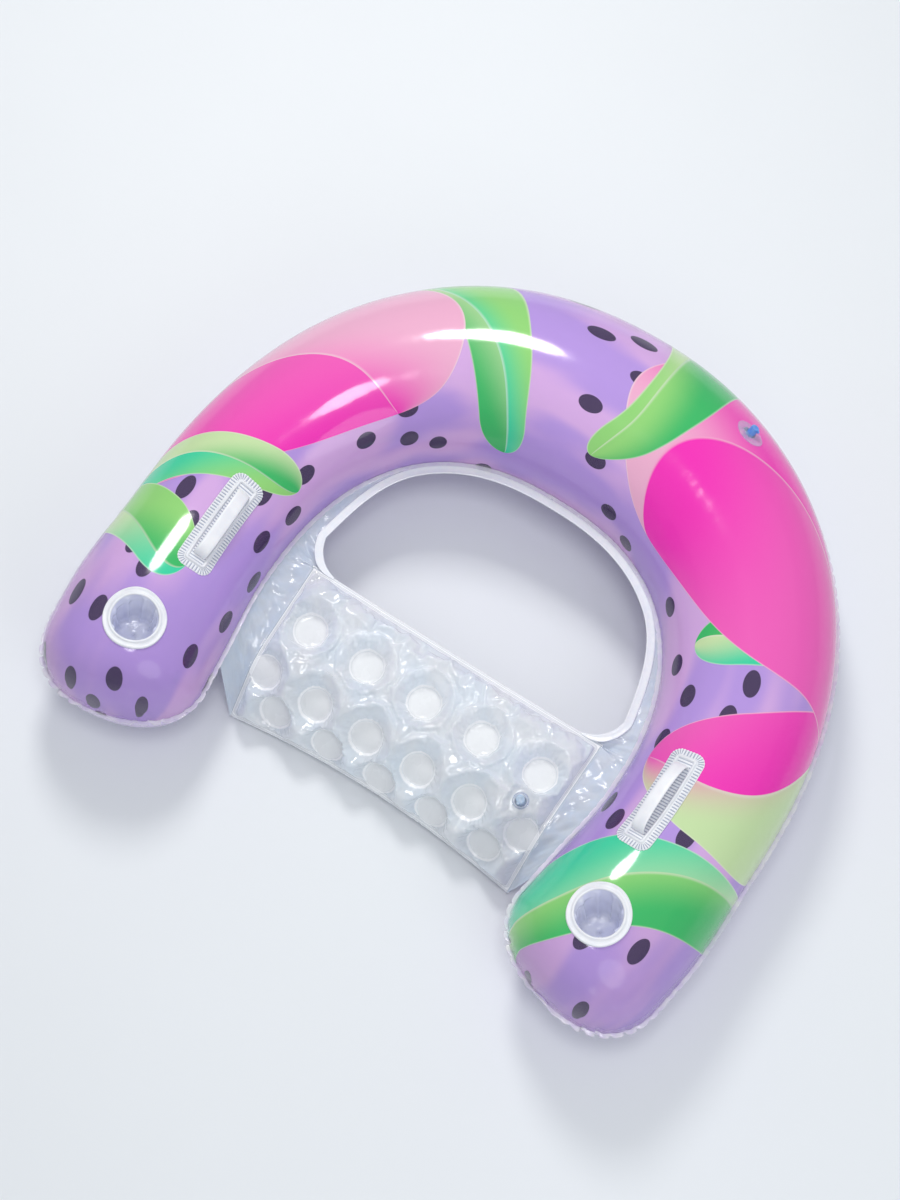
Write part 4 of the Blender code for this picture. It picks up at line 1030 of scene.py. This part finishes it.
def pad_points(pitch=0.0056):
    """Points of a sheet: hem lines, rings round each welded disc, and an even fill between."""
    def rings(radius, count, middles=DIMPLES):
        return (middles[:, None] + polar(radius, full_turn(count))[:, :2]).reshape(-1, 2)

    rim = hem_loop(0.0, pitch)
    valve_middle = np.array([[SEAT_VALVE_X, SEAT_VALVE_V]])
    kept = [rim, hem_loop(HEM, pitch), hem_loop(HEM / 2, pitch)]
    kept += [rings(DISC_R, 48), rings(DISC_R + 0.0022, 48)]
    kept += [rings(SEAT_VALVE_R + SEAT_VALVE_LAND, 30, valve_middle), rings(0.0118, 15, valve_middle)]
    rows = np.arange(0, 0.33, pitch * 0.866)
    line = np.arange(-0.3, 0.3, pitch)
    fill = np.array([(x + (k % 2) * pitch / 2, v) for k, v in enumerate(rows) for x in line])
    inner_rings = ((0.89, 40), (0.68, 30), (0.46, 20), (0.23, 9))
    batches = [rings(share * DISC_R, count) for share, count in inner_rings]
    batches += [DIMPLES, rings(DISC_R + 0.0056, 50), rings(DISC_R + 0.0100, 54)]
    batches += [hem_loop(HEM + 0.003, pitch), hem_loop(HEM + 0.008, pitch), fill]
    for batch in batches:
        tree = KDTree(sum(len(k) for k in kept))
        for i, (x, v) in enumerate(np.vstack(kept)):
            tree.insert((x, v, 0.0), i)
        tree.balance()
        inside = edge_distance(*batch.T) > 0.003
        free = [tree.find((x, v, 0.0))[2] > 0.60 * pitch for x, v in batch]
        kept.append(batch[inside & np.array(free)])
    return np.vstack(kept), len(rim)


# Film and air of the pad while it is blown up, and how far a point may move
AIR = {
    "quality": 6, "mass": 0.12, "tension_stiffness": 14.0, "compression_stiffness": 10.0,
    "shear_stiffness": 4.0, "bending_stiffness": 0.06, "air_damping": 1.5, "vertex_group_mass": "welds",
    "use_pressure": True, "uniform_pressure_force": 5.0, "shrink_min": -0.10,
}
SWELL_LIMIT = 0.014


def inflate(pad, pins, frames=26):
    """Fills the pad with air between its welds, and keeps the result."""
    scene = bpy.context.scene
    start = np.array([v.co for v in pad.data.vertices])
    pad.vertex_groups.new(name="welds").add(pins, 1.0, "REPLACE")
    air = pad.modifiers.new("air", "CLOTH")
    for key, value in AIR.items():
        setattr(air.settings, key, value)
    air.settings.effector_weights.gravity = 0.0
    air.collision_settings.use_collision = False
    air.point_cache.frame_start = 1
    air.point_cache.frame_end = frames
    for number in range(1, frames + 1):
        scene.frame_set(number)
    apply_modifiers(pad)
    scene.frame_set(1)
    pad.vertex_groups.clear()
    moved = np.array([v.co for v in pad.data.vertices]) - start
    moved *= np.minimum(1.0, SWELL_LIMIT / np.linalg.norm(moved, axis=1, keepdims=True).clip(1e-9))
    pad.data.vertices.foreach_set("co", (start + moved).ravel())
    pad.data.update()


CREASE_DEPTH = 0.0016


def swing(turn, times, size):
    """A wave round a disc that starts at a random turn."""
    return size * np.sin(times * turn + rng.uniform(0, 6))


def crease_discs(pad):
    """Presses short creases into the film round each welded disc."""
    mesh = pad.data
    count = len(mesh.vertices)
    place, normal = np.empty(count * 3), np.empty(count * 3)
    mesh.vertices.foreach_get("co", place)
    mesh.vertices.foreach_get("normal", normal)
    place, normal = place.reshape(-1, 3), normal.reshape(-1, 3)
    press = np.zeros(count)
    for cx, cv in DIMPLES:
        _, _, slope = sling_line(cv)
        off = place - seat_point(cx, cv, 0.0)
        a, b = off[:, 0], off @ np.array([0.0, -math.cos(slope), -math.sin(slope)])
        beyond, turn = np.hypot(a, b) - DISC_R, np.arctan2(b, a)
        teeth = rng.integers(17, 24)
        wobble = swing(turn, 2, 1.2) + swing(turn, 3, 0.8)
        wave = (0.5 + 0.5 * np.cos(teeth * turn + wobble)) ** 2
        patch = np.clip(0.55 + swing(turn, 1, 0.6) + swing(turn, 3, 0.3), 0, 1.2)
        window = smooth((beyond - 0.0012) / 0.004) * (1 - smooth((beyond - 0.006) / 0.014))
        press += CREASE_DEPTH * wave * patch * window
    mesh.vertices.foreach_set("co", (place - normal * press[:, None]).ravel())
    mesh.update()


def quilted_pad(name, valve_place):
    """The seat's two sheets, welded at the discs and the hem and blown up between them."""
    points, rim_count = pad_points()
    outline = [list(range(rim_count))]
    found, _, triangles, _, _, _ = delaunay_2d_cdt([Vector(p) for p in points], [], outline, 1, 1e-6)
    x, v = np.array([tuple(p) for p in found]).T
    away = dimple_distance(x, v)
    edge = edge_distance(x, v)
    heights = (crown(x, v, True) + LINING, -crown(x, v, False) - LINING)
    verts = np.vstack([seat_point(x, v, height) for height in heights])
    count = len(x)
    faces, sides = [], set()
    for a, b, c in triangles:
        faces += [(c, b, a), (a + count, b + count, c + count)]
        sides.update(((a, b), (b, c), (c, a)))
    for a, b in sides:
        if (b, a) not in sides:
            faces.append((a, b, b + count, a + count))
    uv = np.tile(np.stack([away, edge], -1), (2, 1))
    nodes = ("seat_upper_sheet", "seat_lower_sheet")
    pad = add_mesh(name, verts, faces, seat_film, "frosted_vinyl", nodes, uv)
    clean(pad, 1e-7)
    held = np.flatnonzero((away < DISC_R + SEAM_GAP) | (edge < HEM + SEAM_GAP))
    land = np.flatnonzero(valve_distance(x, v) < SEAM_GAP)
    inflate(pad, np.concatenate([held, held + count, land]).tolist())
    pad.modifiers.new("finer", "SUBSURF").levels = 1
    apply_modifiers(pad)
    crease_discs(pad)
    drill(pad, valve_place, COLLAR_R + COLLAR_PLAY, 2 * SEAT_POCKET, open_sheet=False)
    pad.data.shade_smooth()


def seam_line(s, reach):
    points = half_tube(s, math.pi, reach)
    points[..., 2] = tube_radius(s) - FLOOR_SINK
    return points


# The skirt's inner edge: places along the tube's seam where its stretches meet, and their points
SKIRT_FRONT_S = 0.1635
SKIRT_REAR_S = 0.404
GUSSET_S = 0.431
CORNER_S = 0.4846
SIDE_STEPS = 60
GUSSET_STEPS = 16
CORNER_STEPS = 28
ARCH_STEPS = 150
CORNER_BEND = slice(70, 130)
CORNER_CLIMB = 0.8
SKIRT_COLUMNS = 18
SKIRT_LAP = 0.004
SKIRT_LIFT = 0.0012
HEM_SETBACK = 0.003
TAUT_WIDTH = 0.022
FULL_FOLD_WIDTH = 0.04
SKIRT_DROP = 0.10
SKIRT_FOLD = 0.0016


def skirt_edge():
    """Right half of the skirt's inner edge, with the place on the tube's seam of each point."""
    corner_x = HOLE_HALF - HOLE_CORNER_R
    rear_y = SEAT_REAR_Y - MID_Y
    seam_s, inner = [], []
    for t in shares(SIDE_STEPS):
        v = SEAT_SIDE_LENGTH * (1 - t)
        seam_s.append(between(SKIRT_FRONT_S, SKIRT_REAR_S, t))
        inner.append(seat_point(seat_half(v) - SKIRT_LAP, v, SKIRT_LIFT))
    for t in shares(GUSSET_STEPS):
        x = between(SEAT_HALF_REAR, corner_x, t)
        inner.append((x, rear_y - HEM_SETBACK * (1 - t ** 2), seat_point(x, 0.0, SKIRT_LIFT)[2]))
        seam_s.append(between(SKIRT_REAR_S, GUSSET_S, t))
    hem_z = seat_point(corner_x, 0.0, 0.0)[2]
    climb = float(tube_radius(CORNER_S)) - FLOOR_SINK - hem_z
    for t in shares(CORNER_STEPS):
        turn = math.pi / 2 * t
        x, y = corner_x + HOLE_CORNER_R * math.sin(turn), rear_y + HOLE_CORNER_R * (1 - math.cos(turn))
        inner.append((x, y, hem_z + climb * CORNER_CLIMB * float(smooth(t))))
        seam_s.append(between(GUSSET_S, CORNER_S, t))
    corner_edge = seam_line(CORNER_S, 0.0)[0] - HOLE_HALF
    for t in np.linspace(0, 1, ARCH_STEPS):
        s = between(CORNER_S, HALF_LENGTH, t)
        point = seam_line(s, between(RIM_WIDTH, corner_edge, 1 - float(smooth(t / 0.45))))
        point[2] -= climb * (1 - CORNER_CLIMB) * (1 - float(smooth(t / 0.3)))
        inner.append(point)
        seam_s.append(s)
    edge = np.column_stack([inner, seam_s])
    edge[CORNER_BEND] = smoothed(edge, 15)[CORNER_BEND]
    return edge[:, :3], edge[:, 3]


def clear_skirt(name):
    """Clear sheet from the inner seam to the seat's sides and round the opening."""
    inner, seam_s = skirt_edge()
    phase = rng.uniform(0, 2 * np.pi, 6)
    run = run_along(inner)
    outer = seam_line(seam_s, 0.001)
    width = np.linalg.norm(inner - outer, axis=1)
    size = np.clip(width - TAUT_WIDTH, 0, FULL_FOLD_WIDTH) / FULL_FOLD_WIDTH
    rows = []
    for t in np.linspace(0, 1, SKIRT_COLUMNS):
        row = outer * (1 - t) + inner * t
        drop = SKIRT_DROP * width * 4 * t * (1 - t)
        folds = (np.sin(run * 260 + 3.0 * t + phase[0]) * 0.5 + np.sin(run * 141 - 5.0 * t + phase[1])
                 + np.sin(run * 75 + 8.0 * t + phase[2]))
        row[:, 2] += -drop * size + SKIRT_FOLD * size * folds * np.sin(np.pi * t) ** 0.8
        rows.append(row)
    grid = both_sides(np.stack(rows, 1))
    skirt = add_mesh(name, grid, grid_faces(*grid.shape[:2]), skirt_film, "clear_vinyl", ("seat_skirt",))
    clean(skirt)
    thicken(skirt, WALL, 0.0)
    apply_modifiers(skirt)
    start = SIDE_STEPS + GUSSET_STEPS
    return inner[start:], outer[start:]


# The rim's section: distance away from the opening, and height
RIM_SECTION = near(0.0, 0.0, (-60, 0), (-80, 100), (20, 160), (180, 160), (300, 110), (700, 100), (1050, 110),
                   (1180, 150), (1320, 150), (1400, 90), (1400, 30), (700, 30))


def opening_rim(name, inner, outer):
    """White welded band round the opening behind the seat, narrower at its two ends."""
    path = both_sides(inner)
    ahead = np.gradient(path, axis=0)
    away = unit(smoothed(np.column_stack([ahead[:, 1], -ahead[:, 0], np.zeros(len(path))]), 13))
    towards = unit(both_sides(outer) - path)
    away[:, 2] = towards[:, 2]
    away *= np.sign((away * towards).sum(1))[:, None]
    place = np.arange(len(path))
    share = 0.3 + 0.7 * smooth(np.minimum(place, place[::-1]) / 14.0)
    rows = []
    for reach, height in RIM_SECTION:
        row = path + away * (reach * share + 0.0002)[:, None]
        row[:, 2] += height * (0.4 + 0.6 * share)
        rows.append(row)
    faces = closed_faces(len(path), len(rows))
    clean(add_mesh(name, np.stack(rows, 1), faces, rim_film, "white_band", ("opening_rim",)), 1e-7)


# Valves

def valve_axes(up, along):
    third = unit(np.cross(up, along))
    return np.column_stack([np.cross(third, up), third, up])


def soft_block(reach, half, heights, round_off, origin, axes):
    """Small block with rounded edges, in a valve's frame."""
    bm = bmesh.new()
    bmesh.ops.create_cube(bm, size=1.0)
    middle = np.array([sum(reach) / 2, 0.0, sum(heights) / 2])
    size = np.array([reach[1] - reach[0], 2 * half, heights[1] - heights[0]])
    for vert in bm.verts:
        vert.co = Vector(middle + np.array(vert.co) * size)
    bmesh.ops.bevel(bm, geom=bm.edges, offset=round_off, segments=3, profile=0.5, affect="EDGES")
    verts = np.array([vert.co for vert in bm.verts]) @ axes.T + origin
    faces = [[vert.index for vert in face.verts] for face in bm.faces]
    bm.free()
    return verts, faces


def lathe(outline, steps, origin, axes, follow=None):
    def place(radius, turn, height):
        points = polar(radius, turn, height) @ axes.T + origin
        if follow:
            points += follow(radius, turn) * smooth((radius - COLLAR_R) / 0.004)[..., None]
        return points

    return turned(outline, steps, place)


def joined(*parts):
    verts, faces = [], []
    for more_verts, more_faces in parts:
        first = sum(len(v) for v in verts)
        verts.append(more_verts)
        faces += [[i + first for i in face] for face in more_faces]
    return np.vstack(verts), faces


def valve(prefix, origin, axes, radius, follow, tint):
    """Clear collar with a push-in stem, a plug cap on a tongue and a check flap under it."""
    def add(part, shape, mat, slot, body, weld):
        node = prefix + part
        clean(add_mesh(node + "_soft", *shape, mat, slot, (node,), body=body), weld)

    def block(reach, heights, round_off):
        return soft_block(reach, TETHER_WIDTH / 2, heights, round_off, origin, axes)

    base = near(radius, 0.0, (0, 30), (20, 60), (-40, 100), (-140, 90), (-220, 60))
    base += near(COLLAR_R, 0.0, (400, 70), (260, 100), (140, 180))
    base += near(COLLAR_R, COLLAR_TOP, (80, -70), (20, -10), (-50, 0))
    base += near(STEM_R, COLLAR_TOP, (100, 0), (40, -40), (30, -120)) + near(STEM_R, -COLLAR_DEPTH, (30, 0))
    base += near(COLLAR_R, -COLLAR_DEPTH, (-20, 0), (0, 30)) + near(COLLAR_R, 0.0, (0, 10), (100, 20))
    add("_base", lathe(base, 72, origin, axes, follow), valve_clear, "clear_vinyl", "float", 1e-5)

    foot_top = -COLLAR_DEPTH - VALVE_GAP
    foot = foot_top - STEM_FOOT
    stem = near(STEM_R, STEM_TOP, (0, -80), (-30, -20), (-100, 0))
    stem += near(STEM_BORE_R, STEM_TOP, (60, 0), (10, -40), (0, -120)) + [(STEM_BORE_R, foot)]
    stem += near(STEM_FOOT_R, foot, (-30, 0), (0, 30)) + near(STEM_FOOT_R, foot_top, (-10, 0))
    stem += [(STEM_R, foot_top), (STEM_R, 0.0)]
    lug_foot = COLLAR_TOP + STEM_TRAVEL + VALVE_GAP
    lug = block((-TETHER_REACH, -STEM_R + 0.0010), (lug_foot, STEM_TOP - 0.0004), 0.0004)
    heel = block((-FLAP_REACH - 0.0008, -FLAP_R - VALVE_GAP), (foot - 0.0006, foot + 0.0004), 0.0002)
    shape = joined(lathe(stem, 56, origin, axes), lug, heel)
    add("_stem", shape, tint, "blue_stem", prefix + "_stem", 1e-6)

    seat_z = STEM_TOP + VALVE_GAP
    crest = seat_z + CAP_THICK
    plug, plug_end = STEM_BORE_R - VALVE_GAP, seat_z - PLUG_LENGTH
    cap = near(0.0, crest, (2, -50), (160, -50), (260, -40), (320, 0))
    cap += near(STEM_R, crest, (-100, 0), (-30, -20), (0, -80)) + near(STEM_R, seat_z, (-10, 20), (-40, 0))
    cap += near(plug, seat_z, (0, 0), (0, -120), (-30, -180), (0, -240))
    cap += near(plug, plug_end, (-90, 40), (-130, 0)) + near(0.0, plug_end, (2, 0))
    tongue = block((-TETHER_REACH + 0.0002, -STEM_R + 0.0012), (seat_z + 0.0002, seat_z + 0.00096), 0.00025)
    add("_cap", joined(lathe(cap, 56, origin, axes), tongue), tint, "blue_stem", prefix + "_cap", 1e-6)

    low = foot - VALVE_GAP
    flap = near(0.0, low, (2, 0)) + near(FLAP_R, low, (-20, 0), (0, -20), (0, -40), (-20, -60))
    flap += near(0.0, low, (2, -60))
    add("_flap", lathe(flap, 48, origin, axes), valve_clear, "clear_vinyl", prefix + "_flap", 1e-5)


def tube_valve():
    """Valve on the outer back of the tube, in a hole through its upper panel."""
    s = HALF_LENGTH
    while np.interp(s, PLAN_S, PLAN[:, 0]) < TUBE_VALVE_X:
        s -= 0.0005
    seat = Seat(s, TUBE_VALVE_TURN, 1)
    axes = valve_axes(seat.up, seat.along)

    def follow(reach, turn):
        flat = polar(reach, turn) @ axes.T
        a, b = flat @ seat.along, flat @ seat.across
        zero = np.zeros(a.shape)
        return seat.draped(a, b, zero) - seat.rigid(a, b, zero)

    drill(upper, (seat.origin, seat.up, axes[:, 0]), COLLAR_R + COLLAR_PLAY, 0.03)
    valve("tube_valve", seat.origin, axes, TUBE_VALVE_R, follow, stem_blue)


def seat_valve():
    """Valve in the pad's upper sheet; gives the place of its pocket."""
    rise = 0.00015 + VALVE_LEVEL * SEAT_CROWN + WALL
    origin = seat_point(SEAT_VALVE_X, SEAT_VALVE_V, rise)
    ahead = seat_point(SEAT_VALVE_X, SEAT_VALVE_V - SHORT_STEP, rise) - origin
    beside = seat_point(SEAT_VALVE_X + SHORT_STEP, SEAT_VALVE_V, rise) - origin
    axes = valve_axes(unit(np.cross(beside, ahead)), ahead)

    def follow(reach, turn):
        local = polar(reach, turn)
        draped = seat_point(SEAT_VALVE_X - local[..., 1], SEAT_VALVE_V - local[..., 0], rise)
        off = (draped - (local @ axes.T + origin)) @ axes[:, 2]
        return off[..., None] * axes[:, 2]

    valve("seat_valve", origin, axes, SEAT_VALVE_R, follow, stem_pale)
    return origin, axes[:, 2], axes[:, 0]


tube_valve()
for panel in (upper, lower):
    clean(panel, 2e-6)
    thicken(panel, WALL)
quilted_pad("seat_pad", seat_valve())
rim_inner, rim_outer = clear_skirt("seat_clear_skirt")
opening_rim("opening_welded_rim", rim_inner, rim_outer)


# Studio

def stage_material(name, colour, scale):
    n = Nodes(name, Roughness=0.6)
    tone = n.noise(scale, 2.0, n.place)
    n.out("Base Color", n.mix(tone, colour, tuple(0.985 * c for c in colour)))
    return n.mat


# Lamps: name, place, width, power in watts and colour
LAMPS = (
    ("key", (-1.5, 1.7, 3.3), 1.0, 60.0, (1.0, 0.985, 0.96)),
    ("fill", (2.6, -1.6, 2.4), 2.4, 22.0, (0.95, 0.98, 1.0)),
    ("top", (0.4, -0.7, 4.4), 1.2, 38.0, (1.0, 1.0, 1.0)),
)
BACKDROP_FROM = 5.0
BACKDROP_CURVE = 0.28
SKY_LIGHT = 0.52
FLOOR_GAP = 0.0004


def studio():
    """Pale floor that curves up into a backdrop all round, with soft lamps and a dim pale world."""
    reach, turn = np.meshgrid(np.linspace(0.05, 9.5, 60), full_turn(96), indexing="ij")
    verts = polar(reach, turn, BACKDROP_CURVE * np.clip(reach - BACKDROP_FROM, 0, None) ** 2 - FLOOR_GAP)
    faces = grid_faces(*reach.shape, wrap=True)
    faces.append(tuple(range(reach.shape[1])))
    pale = stage_material("pale_floor", (0.80, 0.83, 0.86), 3.0)
    put("floor", smooth_mesh("floor", verts, faces, pale))
    world = bpy.data.worlds.new("studio")
    world.use_nodes = True
    sky = world.node_tree.nodes["Background"].inputs
    sky["Color"].default_value = (0.95, 0.97, 1.0, 1.0)
    sky["Strength"].default_value = SKY_LIGHT
    bpy.context.scene.world = world
    for name, spot, width, power, colour in LAMPS:
        lamp = bpy.data.lights.new(name, "AREA")
        lamp.shape = "DISK"
        lamp.size = width
        lamp.energy = power
        lamp.color = colour
        holder = put(name, lamp)
        holder.location = spot
        aim = Vector((0.0, 0.0, 0.1)) - Vector(spot)
        holder.rotation_euler = aim.to_track_quat("-Z", "Y").to_euler()


def photo_camera():
    """Camera at the photograph's viewing angle, solved from the float's symmetry."""
    right = Vector((0.8382, 0.5448, 0.0251))
    up = Vector((-0.5184, 0.7817, 0.3467))
    back = right.cross(up).normalized()
    up = back.cross(right)
    axes = Matrix((right, up, back)).transposed().to_4x4()
    axes.translation = Vector((0.623, -1.2678, 3.917))
    lens = bpy.data.cameras.new("photo_camera")
    lens.sensor_fit = "VERTICAL"
    lens.sensor_height = 36.0
    lens.lens = 72.0
    lens.clip_end = 50.0
    camera = put("photo_camera", lens)
    camera.matrix_world = axes
    bpy.context.scene.camera = camera


studio()
photo_camera()
bpy.context.scene.view_settings.view_transform = "Standard"

bpy.context.view_layer.update()
